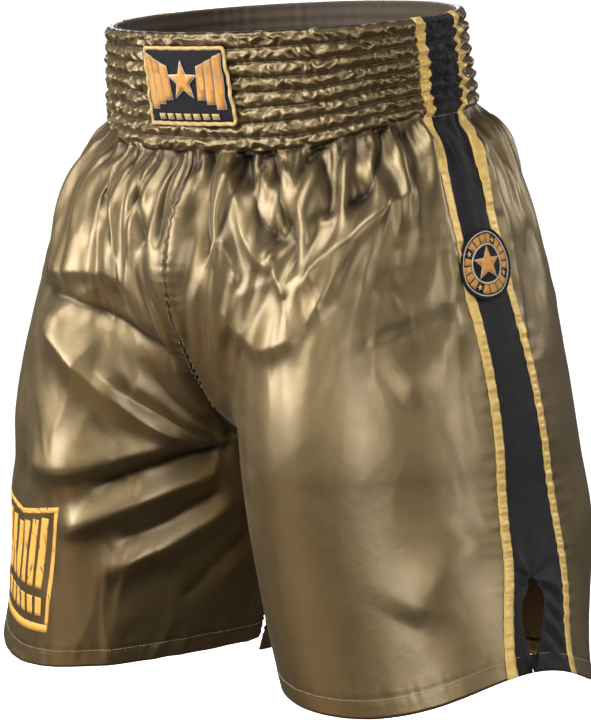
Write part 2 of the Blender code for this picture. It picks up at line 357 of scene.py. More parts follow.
def blurred(values, columns, rows):
    """The values with a Gaussian blur of the given spreads, in grid steps."""
    reach = int(3 * max(columns, rows)) + 1
    wide = with_neighbours(values, reach)
    steps = np.arange(-reach, reach + 1)
    out = {}
    for side in (1, -1):
        own = wide[side]
        tall = np.concatenate([own[:1].repeat(reach, 0), own, own[-1:].repeat(reach, 0)])
        for axis, spread_steps in ((0, rows), (1, columns)):
            weights = np.exp(-0.5 * (steps / spread_steps) ** 2)
            weights = weights / weights.sum()
            size = tall.shape[axis] - 2 * reach
            tall = sum(
                weight * np.take(tall, np.arange(size) + i, axis=axis) for i, weight in enumerate(weights)
            )
        out[side] = tall
    return out


def settle(grids):
    """Keeps the drape's folds, softer towards the hem, and leaves the broad shape to the shell."""
    around = np.linspace(0, 1, COLUMNS + 1)[None, :]
    down = np.linspace(0, 1, ROWS + 1)[:, None]
    shell = shell_point(around, down)
    moved = {side: grids[side] - shell * [side, 1, 1] for side in grids}
    broad = blurred(moved, 9, 8)
    fine = blurred(moved, 1.0, 2.2)
    soft = blurred(moved, 3.0, 4.5)
    low = smooth((down - 0.22) / 0.45)[..., None]
    keep = between(1.0, 0.40, smooth((down - 0.15) / 0.5))[..., None]
    free = smooth(down / 0.05)[..., None]
    out = {}
    for side in grids:
        folds = between(fine[side], soft[side], low) - 0.85 * broad[side]
        out[side] = shell * [side, 1, 1] + between(moved[side], folds * keep, free)
    return joined_at_seams(out)


def joined_at_seams(grids):
    """Brings both sides of each seam to the same place, and lets the change fade out over a few columns."""
    rows_above = (np.arange(ROWS + 1) <= CROTCH_INDEX)[:, None]
    column = np.arange(COLUMNS + 1)
    out = {}
    for side in grids:
        own, other = grids[side], grids[-side]
        inseam = (own[:, 0] + own[:, -1]) / 2
        front = np.where(rows_above, (own[:, 0] + other[:, 0]) / 2, inseam)
        rear = np.where(rows_above, (own[:, -1] + other[:, -1]) / 2, inseam)
        fade_front = bell(column / 8)[None, :, None]
        fade_rear = bell((COLUMNS - column) / 8)[None, :, None]
        change = fade_front * (front - own[:, 0])[:, None] + fade_rear * (rear - own[:, -1])[:, None]
        out[side] = own + change
    return out


grids = settle(grids)


# ---------------------------------------------------------------- sampling the draped cloth
BODY_LENGTH = LENGTH - BAND_HEIGHT
CHANNELS = 8
CHANNEL_HEIGHT = BAND_HEIGHT / CHANNELS


def cubic_weights(share):
    s, s2, s3 = share, share**2, share**3
    return (
        (-s3 + 2 * s2 - s) / 2,
        (3 * s3 - 5 * s2 + 2) / 2,
        (-3 * s3 + 4 * s2 + s) / 2,
        (s3 - s2) / 2,
    )


def padded_grid(points):
    """The grid with one more row and column at each edge, so that a cubic reaches its border."""
    tall = np.concatenate([2 * points[:1] - points[1:2], points, 2 * points[-1:] - points[-2:-1]])
    return np.concatenate([2 * tall[:, :1] - tall[:, 1:2], tall, 2 * tall[:, -1:] - tall[:, -2:-1]], axis=1)


padded_grids = {side: padded_grid(grids[side]) for side in grids}


def cubic_sample(side, around, down):
    rows, columns = down * ROWS, around * COLUMNS
    top = np.clip(np.floor(rows).astype(int), 0, ROWS - 1)
    left = np.clip(np.floor(columns).astype(int), 0, COLUMNS - 1)
    row_weights, column_weights = cubic_weights(rows - top), cubic_weights(columns - left)
    out = 0
    for a in range(4):
        for b in range(4):
            weight = (row_weights[a] * column_weights[b])[..., None]
            out = out + weight * padded_grids[side][top + a, left + b]
    return out


def drape_frame(side, around, down):
    """Points and outward normals of the draped cloth below the band."""
    step = 0.4 / COLUMNS
    point = cubic_sample(side, around, down)
    along = cubic_sample(side, around + step, down) - cubic_sample(side, around - step, down)
    fall = cubic_sample(side, around, np.minimum(down + step, 1.0))
    fall = fall - cubic_sample(side, around, np.maximum(down - step, 0.0))
    normal = unit(np.cross(fall, along)) * side
    top = band_normal(side * math.pi * around)
    return point, unit(top + (normal - top) * smooth(down / 0.05)[..., None])


def metres_around(around, down):
    """How many metres one unit of around is worth on the shell."""
    step = 1e-3
    body = np.maximum(down, 0.0)
    reach = shell_point(around + step, body) - shell_point(around - step, body)
    return np.linalg.norm(reach, axis=-1) / (2 * step)


def stripe_middle(down):
    reach = np.where(down < STRIPE_SWING_ROW, STRIPE_REACH_ABOVE, STRIPE_REACH_BELOW)
    swing = STRIPE_SWING * bell((down - STRIPE_SWING_ROW) / reach)
    hem_swing = STRIPE_HEM_SWING * smooth((down - STRIPE_HEM_ROW) / (1 - STRIPE_HEM_ROW))
    return STRIPE_CENTRE - swing - hem_swing + BAND_LEAN * smooth(-down)


def stripe_half_width(down):
    on_band = between(STRIPE_HALF_TOP, STRIPE_HALF_BAND, smooth(-down / STRIPE_BAND_ROWS))
    below = between(STRIPE_HALF_TOP, STRIPE_HALF_HEM, np.maximum(down, 0.0) ** STRIPE_FLARE)
    return np.where(down < 0, on_band, below)


def stripe_half(down):
    return stripe_half_width(down) / metres_around(stripe_middle(down), down)


# ---------------------------------------------------------------- relief: gathers, puckers and folds
def noise_at(points, seed):
    """Smooth noise of 3-D points, about -1 to 1, with features one unit across."""
    cell = np.floor(points).astype(int)
    share = points - cell
    fade = share**3 * (share * (share * 6 - 15) + 10)
    local = np.random.default_rng(seed)
    table = local.permutation(256)
    slopes = local.normal(size=(256, 3))
    slopes = unit(slopes)
    total = 0
    for corner in range(8):
        step = np.array([corner & 1, corner >> 1 & 1, corner >> 2 & 1])
        x, y, z = np.moveaxis((cell + step) % 256, -1, 0)
        key = table[(x + table[(y + table[z]) % 256]) % 256]
        weight = np.prod(np.where(step == 1, fade, 1 - fade), axis=-1)
        total = total + weight * (slopes[key] * (share - step)).sum(axis=-1)
    return 1.5 * total


def round_place(angle, fall, across, along):
    """A place for noise_at that closes up round the waist: features `across` wide and `along` tall."""
    return np.stack(
        [np.cos(angle) * MEAN_RADIUS / across, np.sin(angle) * MEAN_RADIUS / across, fall / along], axis=-1
    )


MEAN_RADIUS = 0.15


def noise_wave(x, seed, harmonics):
    """A smooth periodic noise of an angle, about -1 to 1."""
    local = np.random.default_rng(seed)
    total = 0
    for n in harmonics:
        total = total + local.uniform(0.5, 1.0) * np.sin(n * x + local.uniform(0, 6.28))
    return total / math.sqrt(len(harmonics))


def line_gathers(angle, line):
    """The small pleats that shirring line number `line` holds: 0 in a crease, 1 on a pleat's back."""
    lean = 0.03 * noise_wave(angle, 200 + line, (5, 9, 14, 23))
    ridges = 1 - 2.1 * np.abs(noise_at(round_place(angle + lean, 0.37 * line + 0 * angle, 0.0065, 0.1), 210))
    return np.clip(ridges, -0.2, 1.0)


def foot_relief(angle):
    """How far the cloth stands out where the gathers leave the band."""
    return FOOT_OUT + FOOT_WAVE * waves(angle, GATHER_COUNT, GATHER_SEED)


CHANNEL_PUFF, LARGE_PLEAT, SMALL_PLEAT, LINE_DEPTH = 0.0033, 0.0023, 0.0007, 0.0008


def band_relief(angle, down):
    """How far the waistband's eight puffed channels stand out, with the pleats that their elastics hold."""
    place = np.clip((1 + down) * CHANNELS, 0, CHANNELS)
    wander = 0.13 * noise_at(round_place(angle, place, 0.030, 1.7), 501)
    place = place + wander * np.sin(math.pi * place / CHANNELS) ** 0.5
    place = np.clip(place, 0, CHANNELS - 1e-6)
    channel = np.floor(place)
    share = place - channel
    share = np.where(channel == 0, 0.30 + 0.70 * share, share)
    puff = np.sin(math.pi * share) ** 0.7
    fullness = 1 + 0.60 * noise_at(round_place(angle, place, 0.016, 0.9), 503)
    lean = 0.030 * noise_at(round_place(angle, place, 0.017, 0.55), 505)
    large = 1 - 2.0 * np.abs(noise_at(round_place(angle + lean, place, 0.0085, 0.85), 507))
    small = 1 - 2.0 * np.abs(noise_at(round_place(angle + 0.6 * lean, place, 0.0042, 0.55), 509))
    near_line = bell(np.minimum(share, 1 - share) / 0.2)
    relief = CHANNEL_PUFF * puff * fullness + LARGE_PLEAT * large * (0.30 + 0.70 * puff)
    relief = relief + SMALL_PLEAT * small * (0.3 + 0.7 * near_line) - LINE_DEPTH
    foot = smooth((down + 0.05) / 0.05)
    edge = foot_relief(angle) + 0.0012 * line_gathers(angle, CHANNELS)
    rim = smooth((down + 1) / 0.035)
    return between(between(0.0009 + 0.0010 * line_gathers(angle, 0), relief, rim), edge, foot)


def smooth_line(places):
    """The line through the places, with its corners cut twice so that it curves."""
    for _ in range(2):
        line = [places[0]]
        for (x0, y0), (x1, y1) in zip(places, places[1:]):
            line.append((0.75 * x0 + 0.25 * x1, 0.75 * y0 + 0.25 * y1))
            line.append((0.25 * x0 + 0.75 * x1, 0.25 * y0 + 0.75 * y1))
        places = line + [places[-1]]
    return places


def fold(around, down, places, above, below, height, sharp=1.5):
    """A fold along a line of (around, down) places, listed with around growing: a crest, or a groove where
    the height is negative. Its two sides fall away over their own widths."""
    line = smooth_line(list(places))
    metric = np.array([ROUND_METRES, BODY_LENGTH])
    line = np.array(line) * metric
    sizes = np.linalg.norm(np.diff(line, axis=0), axis=-1)
    x, y = around * metric[0], down * metric[1]
    reach = 3 * max(above, below)
    near = (x > line[:, 0].min() - reach) & (x < line[:, 0].max() + reach)
    near &= (y > line[:, 1].min() - reach) & (y < line[:, 1].max() + reach)
    x, y = x[near], y[near]
    best, signed, along = np.full(x.shape, 1e9), np.zeros(x.shape), np.zeros(x.shape)
    gone = 0.0
    for start, end, size in zip(line, line[1:], sizes):
        dx, dy = (end - start) / size
        from_x, from_y = x - start[0], y - start[1]
        on = np.clip(from_x * dx + from_y * dy, 0, size)
        off_x, off_y = from_x - on * dx, from_y - on * dy
        distance = np.hypot(off_x, off_y)
        nearer = distance < best
        signed = np.where(nearer, off_x * dy - off_y * dx, signed)
        along = np.where(nearer, (gone + on) / sizes.sum(), along)
        best = np.where(nearer, distance, best)
        gone += size
    width = between(below, above, smooth(signed / 0.004 + 0.5))
    first, last = smooth(line[0, 1] / 0.01), smooth(line[-1, 1] / 0.01)
    ends = between(1.0, smooth(along / 0.22 + 0.12), first)
    ends = ends * between(1.0, smooth((1 - along) / 0.22 + 0.12), last)
    relief = np.zeros(around.shape)
    relief[near] = height * np.exp(-((best / width) ** sharp)) * ends
    return relief


ROUND_METRES = 0.80  # what one unit of around is worth on a leg


def seam_puckers(distance, length, pitch, depth, seed, reach=0.009):
    """Small pulls across a seam, dying out away from it."""
    drift = 0.9 * noise_wave(length * 12, seed, (3, 7, 11))
    strength = np.clip(0.55 + 0.5 * noise_wave(length * 12, seed + 1, (5, 9, 17)), 0, 1.2)
    pull = np.sin(2 * math.pi * length / pitch + drift) * strength
    return depth * pull * np.exp(-distance / reach)


# Folds that the wearer's stance pulls into the cloth: places, widths above and below, height, and how
# square their backs are where that isn't the usual.
FOLDS = {
    -1: (
        (((0.0, 0.31), (0.038, 0.275), (0.112, 0.294), (0.21, 0.290), (0.30, 0.285)), 0.009, 0.012, -0.0050),
        (((0.0, 0.31), (0.004, 0.38), (0.018, 0.455), (0.06, 0.57)), 0.006, 0.010, -0.0045),
        (((0.08, 0.195), (0.15, 0.21), (0.22, 0.235), (0.32, 0.26)), 0.022, 0.010, 0.0050, 1.6),
        (((0.114, 0.150), (0.16, 0.080), (0.20, 0.0)), 0.008, 0.008, -0.0060),
        (((0.046, 0.135), (0.074, 0.065), (0.100, 0.0)), 0.007, 0.007, -0.0055),
        (((0.016, 0.120), (0.022, 0.060), (0.030, 0.0)), 0.006, 0.006, -0.0050),
        (((0.070, 0.595), (0.12, 0.535), (0.18, 0.455), (0.24, 0.375), (0.29, 0.33)), 0.034, 0.018, 0.0105),
        (((0.075, 0.590), (0.098, 0.497), (0.138, 0.456), (0.19, 0.42)), 0.007, 0.014, 0.0045),
        (((0.11, 0.570), (0.19, 0.60), (0.24, 0.63), (0.31, 0.62)), 0.022, 0.013, 0.0085, 1.6),
        (((0.066, 0.609), (0.118, 0.603), (0.152, 0.616), (0.21, 0.66)), 0.010, 0.012, -0.0045, 1.6),
        (((0.070, 0.640), (0.136, 0.668), (0.19, 0.708), (0.25, 0.76)), 0.016, 0.011, 0.0080, 1.6),
        (((0.070, 0.678), (0.098, 0.700), (0.13, 0.731), (0.18, 0.765)), 0.010, 0.012, -0.0035, 1.6),
        (((0.055, 0.700), (0.11, 0.755), (0.16, 0.80), (0.20, 0.83)), 0.014, 0.012, 0.0070, 1.6),
        (((0.040, 0.76), (0.08, 0.83), (0.11, 0.89)), 0.008, 0.010, -0.0025),
    ),
    1: (
        (((0.075, 0.0), (0.10, 0.075), (0.126, 0.134), (0.172, 0.200)), 0.008, 0.008, 0.0045),
        (((0.095, 0.0), (0.124, 0.070), (0.158, 0.128), (0.19, 0.150)), 0.011, 0.011, -0.0095),
        (((0.140, 0.0), (0.175, 0.090), (0.198, 0.166), (0.218, 0.215)), 0.006, 0.008, -0.0075),
        (((0.160, 0.0), (0.20, 0.090), (0.225, 0.160)), 0.012, 0.010, 0.0050, 1.6),
        (((0.160, 0.145), (0.185, 0.215), (0.212, 0.255)), 0.007, 0.007, 0.0040),
        (
            ((0.212, 0.255), (0.238, 0.205), (0.278, 0.163), (0.328, 0.115), (0.388, 0.100)),
            0.010, 0.016, 0.0050,
        ),
        (((0.034, 0.0), (0.046, 0.080), (0.062, 0.150)), 0.006, 0.006, -0.0055),
        (((0.062, 0.150), (0.078, 0.110), (0.102, 0.150), (0.122, 0.205)), 0.006, 0.008, 0.0035),
        (((0.220, 0.0), (0.238, 0.066), (0.240, 0.125)), 0.008, 0.008, -0.0055),
        (((0.262, 0.110), (0.308, 0.072), (0.330, 0.0)), 0.008, 0.008, -0.0060),
        (((0.344, 0.200), (0.344, 0.269), (0.358, 0.350)), 0.028, 0.028, -0.0030, 1.8),
        (((0.08, 0.22), (0.132, 0.295), (0.18, 0.345), (0.22, 0.342), (0.25, 0.31)), 0.040, 0.010, 0.0050),
        (((0.24, 0.325), (0.262, 0.27), (0.275, 0.19), (0.305, 0.14), (0.34, 0.10)), 0.030, 0.009, 0.0050),
        (((0.36, 0.45), (0.385, 0.42), (0.41, 0.365), (0.418, 0.30)), 0.020, 0.018, 0.0035, 1.8),
        (((0.345, 0.86), (0.365, 0.815), (0.40, 0.755), (0.43, 0.69)), 0.022, 0.018, 0.0035, 1.7),
        (((0.13, 0.30), (0.145, 0.40), (0.15, 0.50)), 0.014, 0.014, -0.0030, 1.6),
    ),
}


# Places where the worn cloth stands out or lies in: around, down, reach around, reach down, height.
SWELLS = {
    -1: ((0.40, 0.70, 0.09, 0.14, 0.0055),),
    1: ((0.61, 0.71, 0.065, 0.13, 0.0120), (0.60, 1.0, 0.08, 0.10, -0.0070)),
}


def swells(side, around, down):
    """How far the cloth's broad swells stand out."""
    total = 0.0
    for place, row, reach, reach_down, height in SWELLS[side]:
        distance = np.hypot((around - place) / reach, (down - row) / reach_down)
        total = total + height * bell(distance)
    return total


def puffs(points, seed):
    """Rounded folds with narrower valleys between them, about -0.6 to 1.4."""
    return 2.4 * np.sqrt(noise_at(points, seed) ** 2 + 0.012) - 0.85


def small_gathers(angle, length):
    """The gathers under the band: narrow ones that soon run together, and deep folds that fall further."""
    lean = 0.06 * noise_at(round_place(angle, length, 0.05, 0.06), 909)
    fine = puffs(round_place(angle + 0.4 * lean, length, 0.0068, 0.045), 911)
    wide = puffs(round_place(angle + lean, length, 0.0150, 0.075), 913)
    broad = puffs(round_place(angle + 1.5 * lean, length, 0.029, 0.13), 915)
    calm = 1 - 0.45 * smooth((-angle - 0.25) / 0.5)
    relief = 0.0019 * fine * np.exp(-length / 0.014)
    relief = relief + 0.0040 * calm * wide * bell(length / 0.070)
    relief = relief + 0.0055 * broad * bell(length / 0.13) * smooth(length / 0.035)
    return relief * smooth(length / 0.006)


CRUMPLE_CALM = {1: 0.22, -1: 0.9}


def crumple(side, around, down):
    """Soft unevenness all over the cloth, with a few faint creases."""
    place = shell_point(around, down) * [side, 1, 0.55]
    broad = noise_at(place / 0.060, 921)
    bent = place / 0.034 + 0.5 * broad[..., None]
    middle = noise_at(bent, 923)
    creases = np.maximum(1 - 2.6 * np.abs(noise_at(place / 0.045 + 0.4 * middle[..., None], 925)), 0)
    calm = between(1.0, CRUMPLE_CALM[side], smooth((down - 0.30) / 0.2))
    grow = smooth(down * BODY_LENGTH / 0.03)
    return grow * calm * (0.0024 * broad + 0.0014 * middle + 0.0013 * creases)


def body_relief(side, around, down):
    """How far the cloth below the band stands out from the drape, with all that is sewn or worn in."""
    angle = side * math.pi * around
    metres = metres_around(around, down)
    length = down * BODY_LENGTH
    relief = 0.0012 * line_gathers(angle, CHANNELS) * np.exp(-length / 0.012)
    relief = relief + small_gathers(angle, length) + crumple(side, around, down) + swells(side, around, down)
    middle, half = stripe_middle(down), stripe_half(down)
    for seam, seed in ((middle - half, 20), (middle + half - foot_swing(down), 30)):
        distance = np.abs(around - seam) * metres
        relief += seam_puckers(distance, length, STRIPE_SEAM_PITCH, STRIPE_SEAM_DEPTH, seed + side)
    above_crotch = smooth((CROTCH_ROW + 0.02 - down) / 0.04)
    for seam, seed in ((0.0, 40), (1.0, 50)):
        distance = np.abs(around - seam) * metres
        puckers = seam_puckers(distance, length, MIDDLE_SEAM_PITCH, MIDDLE_SEAM_DEPTH, seed, 0.0045)
        groove = -0.0014 * bell(distance / 0.0015)
        relief += (puckers + groove) * between(0.7, 1.0, above_crotch)
    for places, *shape in FOLDS[side]:
        relief += fold(around, down, places, *shape)
    hem = (1 - down) * BODY_LENGTH
    relief += 0.0003 * smooth((HEM_HEIGHT + 0.001 - hem) / 0.0015)
    relief -= 0.0004 * bell((hem - HEM_HEIGHT) / 0.0012)
    ripple = noise_at(round_place(angle, length, 0.004, 0.05), 931)
    relief += 0.0005 * bell((hem - HEM_HEIGHT) / 0.008) * ripple
    return relief


HEM_HEIGHT = 0.014
STRIPE_SEAM_PITCH, STRIPE_SEAM_DEPTH = 0.0125, 0.0008  # of the puckers beside the stripes
MIDDLE_SEAM_PITCH, MIDDLE_SEAM_DEPTH = 0.0065, 0.0020  # and beside the front, back and inside leg seams


# How much lower the worn hem hangs than the pattern's, at places around each leg.
HEM_DROPS = {
    -1: (
        (0.0, -0.012), (0.08, -0.009), (0.16, 0.001), (0.24, 0.009), (0.32, 0.016), (0.42, 0.012),
        (0.60, 0.002), (1.0, 0.0),
    ),
    1: (
        (0.0, -0.012), (0.10, -0.010), (0.17, 0.003), (0.26, 0.007), (0.34, 0.003), (0.5, 0.001),
        (0.60, -0.002), (1.0, 0.0),
    ),
}


def hem_drop(side, around):
    """How much lower the hem hangs there, with the corners between the places rounded."""
    places, drops = np.array(HEM_DROPS[side]).T
    step = 0.03
    drop = 0.0
    for shift in (-step, 0.0, step):
        drop = drop + np.interp(around + shift, places, drops) / 3
    return drop


def surface(side, around, down, lift=0.0):
    """Points on the finished cloth, with all its relief; lift is a further distance outwards."""
    around, down = np.broadcast_arrays(np.asarray(around, float), np.asarray(down, float))
    lift = np.broadcast_to(np.asarray(lift, float), around.shape)
    points = np.empty(around.shape + (3,))
    band = down < 0
    if band.any():
        a, d = side * math.pi * around[band], down[band]
        relief = band_relief(a, d)
        rim_wave = 0.0009 * noise_wave(a, 600, (23, 41, 67)) * np.exp(-(1 + d) / 0.04)
        base = band_point(a, BAND_HEIGHT * (1 + d) + rim_wave)
        points[band] = base + band_normal(a) * (relief + lift[band])[..., None]
    body = ~band
    if body.any():
        s, d = around[body], down[body]
        base, normal = drape_frame(side, s, d)
        base[..., 2] -= hem_drop(side, s) * smooth((d - 0.80) / 0.20)
        points[body] = base + normal * (body_relief(side, s, d) + lift[body])[..., None]
    return points


# ---------------------------------------------------------------- meshes
def link(name, mesh, material, thickness=None, stands_for=None):
    """Makes a piece that rides on the body; stands_for is the CAD node that it replaces."""
    mesh.shade_smooth()
    mesh.materials.append(material)
    piece = bpy.data.objects.new(name, mesh)
    bpy.context.scene.collection.objects.link(piece)
    if thickness:
        solidify = piece.modifiers.new("cloth", "SOLIDIFY")
        solidify.thickness = thickness
        solidify.offset = -1
    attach(piece, "root")
    if stands_for:
        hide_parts(stands_for)


def grid_mesh(name, points, flip=False, uv=None, closed=False):
    """A mesh of quads over a (rows, columns, 3) grid, with UVs in metres."""
    rows, columns = points.shape[:2]
    number = np.arange(rows * columns).reshape(rows, columns)
    if closed:
        number = np.concatenate([number, number[:, :1]], axis=1)
    mesh = bpy.data.meshes.new(name)
    mesh.from_pydata(points.reshape(-1, 3).tolist(), [], quads_of(number, flip))
    if uv is not None:
        layer = mesh.uv_layers.new(name="metres")
        corners = np.empty(len(mesh.loops), np.int32)
        mesh.loops.foreach_get("vertex_index", corners)
        layer.data.foreach_set("uv", uv.reshape(-1, 2)[corners].astype(np.float32).ravel())
    return mesh


# the crease sizes over which painted shade is measured
CREASE_SHADE_SIZES = ((1, 0.00055), (3, 0.0022))  # steps in the grid, and how deep a full crease is over them


def crease_shade_share(points):
    """How deep in a crease each point of a grid lies, from 0 to 1: how much painted shade the satin gets
    there.
    """
    normal = unit(np.cross(np.gradient(points, axis=0), np.gradient(points, axis=1)))
    inside = points.reshape(-1, 3).mean(axis=0)
    normal = normal * np.sign(((points - inside) * normal).sum(axis=-1).mean())
    total = 0.0
    for step, full in CREASE_SHADE_SIZES:
        wide = np.pad(points, ((step, step), (step, step), (0, 0)), mode="edge")
        beside = wide[step:-step, 2 * step:] + wide[step:-step, :-2 * step]
        beside = beside + wide[2 * step:, step:-step] + wide[:-2 * step, step:-step]
        rise = ((beside / 4 - points) * normal).sum(axis=-1)
        total = total + np.clip(rise / full, 0, 1)
    wide = np.pad(np.clip(total, 0, 1), 1, mode="edge")
    rows, columns = total.shape
    return sum(wide[i:i + rows, j:j + columns] for i in range(3) for j in range(3)) / 9


def cloth_rows(band_rows, body_rows):
    band = np.linspace(-1, 0, band_rows + 1)[:-1]
    return np.concatenate([band, np.linspace(0, 1, body_rows + 1)])


def run_length(path):
    """How far along a path each of its points lies."""
    steps = np.linalg.norm(np.diff(path, axis=0), axis=-1)
    return np.concatenate([[0], np.cumsum(steps)])


def over_rim(side, around, places):
    """Rows of points that turn over the rim; the places are depths and distances outwards."""
    angle = side * math.pi * around
    normal = band_normal(angle)
    return np.array([band_point(angle, np.full_like(angle, depth)) + normal * out for depth, out in places])


BAND_ROWS, BODY_ROWS, PANEL_COLUMNS = 120, 190, 240
CLOTH = 0.00045  # the satin's thickness
# depths below the rim and distances outwards, from inside the waist up to the edge
RIM_FOLD = ((0.0045, -0.0037), (0.0014, -0.0037), (-0.0005, -0.0034), (-0.0014, -0.0022), (-0.0016, -0.0006))
# painted shade: how dark the rim's turned edge is painted, 1 being as dark as a full crease
RIM_PAINTED_SHADE = 1.0  # the rim's turned edge is as dark as a full crease
TURN_UP_SHARES = (0.0, 0.03, 0.25, 0.5, 0.75, 1.0)  # rows of the hem's turn-up, as shares of its height
TURN_UP_LIFTS = (-0.0006, -0.0011, -0.0012, -0.0012, -0.0012, -0.0012)


def panel_grid(side, low, high, columns=PANEL_COLUMNS, extra=None):
    """The points and UVs of a cloth piece between two places round the half, each a function of down,
    from the rim's turned edge to the hem's turn-up on the inside. The extra relief is one too, of around
    and down."""
    downs = cloth_rows(BAND_ROWS, BODY_ROWS)
    share = np.linspace(0, 1, columns + 1)[None, :]
    around = between(low(downs)[:, None], high(downs)[:, None], share)
    down = np.broadcast_to(downs[:, None], around.shape)
    points = surface(side, around, down, extra(around, down) if extra else 0.0)
    turn_up = np.array(TURN_UP_SHARES) * HEM_HEIGHT / BODY_LENGTH
    hem_around = np.broadcast_to(around[-1:], (len(turn_up), columns + 1))
    hem_down = np.broadcast_to((1 - turn_up)[:, None], hem_around.shape)
    lift = np.array(TURN_UP_LIFTS)[:, None] + 0 * hem_around
    if extra:
        lift = lift + extra(hem_around, hem_down)
    inside = surface(side, hem_around, hem_down, lift)
    points = np.concatenate([over_rim(side, around[0], RIM_FOLD), points, inside])
    across = np.linalg.norm(np.diff(points, axis=1), axis=-1).mean() * np.arange(columns + 1)
    fall = run_length(points[:, columns // 2])
    uv = np.stack(np.broadcast_arrays(across[None, :], -fall[:, None]), axis=-1)
    return points, uv


def add_panel(name, side, low, high, stands_for):
    """A satin panel, with a point attribute that tells the material where to paint shade: in the cloth's
    creases, and all over the rim's turned edge.
    """
    points, uv = panel_grid(side, low, high)
    mesh = grid_mesh(name, points, flip=side < 0, uv=uv)
    crease = mesh.attributes.new("crease", "FLOAT", "POINT")
    # painted shade: crease depth, with the rim's turned edge set fully dark, darkens the satin's colour and
    # gloss
    shade = crease_shade_share(points)
    shade[:len(RIM_FOLD)] = RIM_PAINTED_SHADE
    crease.data.foreach_set("value", shade.astype(np.float32).ravel())
    link(name, mesh, satin, CLOTH, stands_for)


def front_seam(down):
    return stripe_middle(down) - stripe_half(down)


def rear_seam(down):
    return stripe_middle(down) + stripe_half(down) - foot_swing(down)


def foot_swing(down):
    """How far forward the worn stripe's rear edge is drawn at its foot."""
    return REAR_FOOT_SWING * smooth((down - 0.82) / 0.18)


REAR_FOOT_SWING = 0.011


# ---------------------------------------------------------------- materials
def new_material(name, colour, roughness, metallic=0.0):
    made = bpy.data.materials.new(name)
    made.use_nodes = True
    shader = made.node_tree.nodes["Principled BSDF"]
    set_inputs(shader, {"Base Color": (*colour, 1), "Roughness": roughness, "Metallic": metallic})
    return made, made.node_tree, shader


def node(tree, kind, **settings):
    made = tree.nodes.new(kind)
    for name, value in settings.items():
        setattr(made, name, value)
    return made


def set_inputs(target, values):
    for socket, value in values.items():
        target.inputs[socket].default_value = value


def texture_place(tree, scale, coordinate="Object", turn=0.0):
    source = node(tree, "ShaderNodeTexCoord")
    mapping = node(tree, "ShaderNodeMapping")
    set_inputs(mapping, {"Scale": scale, "Rotation": (0, 0, turn)})
    tree.links.new(source.outputs[coordinate], mapping.inputs["Vector"])
    return mapping.outputs["Vector"]


def noise(tree, sizes, detail=2.0):
    """A noise with features about so many metres across; sizes is one number or one for each axis."""
    scale = (1 / sizes,) * 3 if np.isscalar(sizes) else tuple(1 / size for size in sizes)
    made = node(tree, "ShaderNodeTexNoise")
    set_inputs(made, {"Scale": 1.0, "Detail": detail})
    tree.links.new(texture_place(tree, scale), made.inputs["Vector"])
    return made.outputs["Fac"]


def threads(tree, pitch, turn):
    """Parallel threads over the cloth, `pitch` metres apart, at an angle to its columns."""
    made = node(tree, "ShaderNodeTexWave", wave_type="BANDS", bands_direction="X", wave_profile="SIN")
    set_inputs(made, {"Scale": math.pi / 10 / pitch, "Distortion": 0.0})
    tree.links.new(texture_place(tree, (1, 1, 1), "UV", turn), made.inputs["Vector"])
    return made.outputs["Fac"]


def mix_colours(tree, factor, first, second):
    """A mix of two colours; the first may be another node's output."""
    made = node(tree, "ShaderNodeMix", data_type="RGBA")
    if isinstance(first, tuple):
        made.inputs["A"].default_value = (*first, 1)
    else:
        tree.links.new(first, made.inputs["A"])
    made.inputs["B"].default_value = (*second, 1)
    tree.links.new(factor, made.inputs["Factor"])
    return made.outputs["Result"]


def map_range(tree, value, from_low, from_high, to_low=0.0, to_high=1.0, **settings):
    made = node(tree, "ShaderNodeMapRange", **settings)
    set_inputs(made, {"From Min": from_low, "From Max": from_high, "To Min": to_low, "To Max": to_high})
    tree.links.new(value, made.inputs["Value"])
    return made.outputs["Result"]


def vary_roughness(tree, shader, size, low, high):
    """Roughness that wanders between two values over features of a size."""
    rough = map_range(tree, noise(tree, size), 0.3, 0.7, low, high)
    tree.links.new(rough, shader.inputs["Roughness"])


def bump(tree, shader, height, distance, strength=1.0, previous=None):
    made = node(tree, "ShaderNodeBump")
    set_inputs(made, {"Strength": strength, "Distance": distance})
    tree.links.new(height, made.inputs["Height"])
    if previous is not None:
        tree.links.new(previous, made.inputs["Normal"])
    tree.links.new(made.outputs["Normal"], shader.inputs["Normal"])
    return made.outputs["Normal"]


def satin_material():
    """Olive satin, with threads that catch the light. Shade is painted into its creases: there its colour is
    darkened towards black and its coat gloss thinned.
    """
    made, tree, shader = new_material("satin_olive", (0.25, 0.19, 0.1), 0.4, 0.82)
    set_inputs(shader, {"Anisotropic": 0.45, "Specular IOR Level": 0.6, "Coat Roughness": 0.34})
    set_inputs(shader, {"Sheen Weight": 0.05, "Sheen Roughness": 0.4})
    colour = mix_colours(tree, noise(tree, 0.05), (0.178, 0.121, 0.049), (0.226, 0.163, 0.073))
    # painted shade: the crease attribute mixes the colour towards near-black and thins the coat where folds
    # would shade the cloth
    crease = node(tree, "ShaderNodeAttribute", attribute_name="crease").outputs["Fac"]
    tree.links.new(mix_colours(tree, crease, colour, (0.018, 0.011, 0.005)), shader.inputs["Base Color"])
    tree.links.new(map_range(tree, crease, 0.0, 1.0, 0.60, 0.05), shader.inputs["Coat Weight"])
    vary_roughness(tree, shader, 0.02, 0.38, 0.46)
    weave = bump(tree, shader, threads(tree, 0.0007, 0.0), 0.00004, 0.5)
    weave = bump(tree, shader, threads(tree, 0.0007, math.pi / 2), 0.00003, 0.4, weave)
    weave = bump(tree, shader, noise(tree, 0.0016, 3.0), 0.00010, 0.8, weave)
    bump(tree, shader, noise(tree, 0.009, 3.0), 0.0006, 0.35, weave)
    tangent = node(tree, "ShaderNodeTangent", direction_type="UV_MAP", uv_map="metres")
    tree.links.new(tangent.outputs["Tangent"], shader.inputs["Tangent"])
    return made


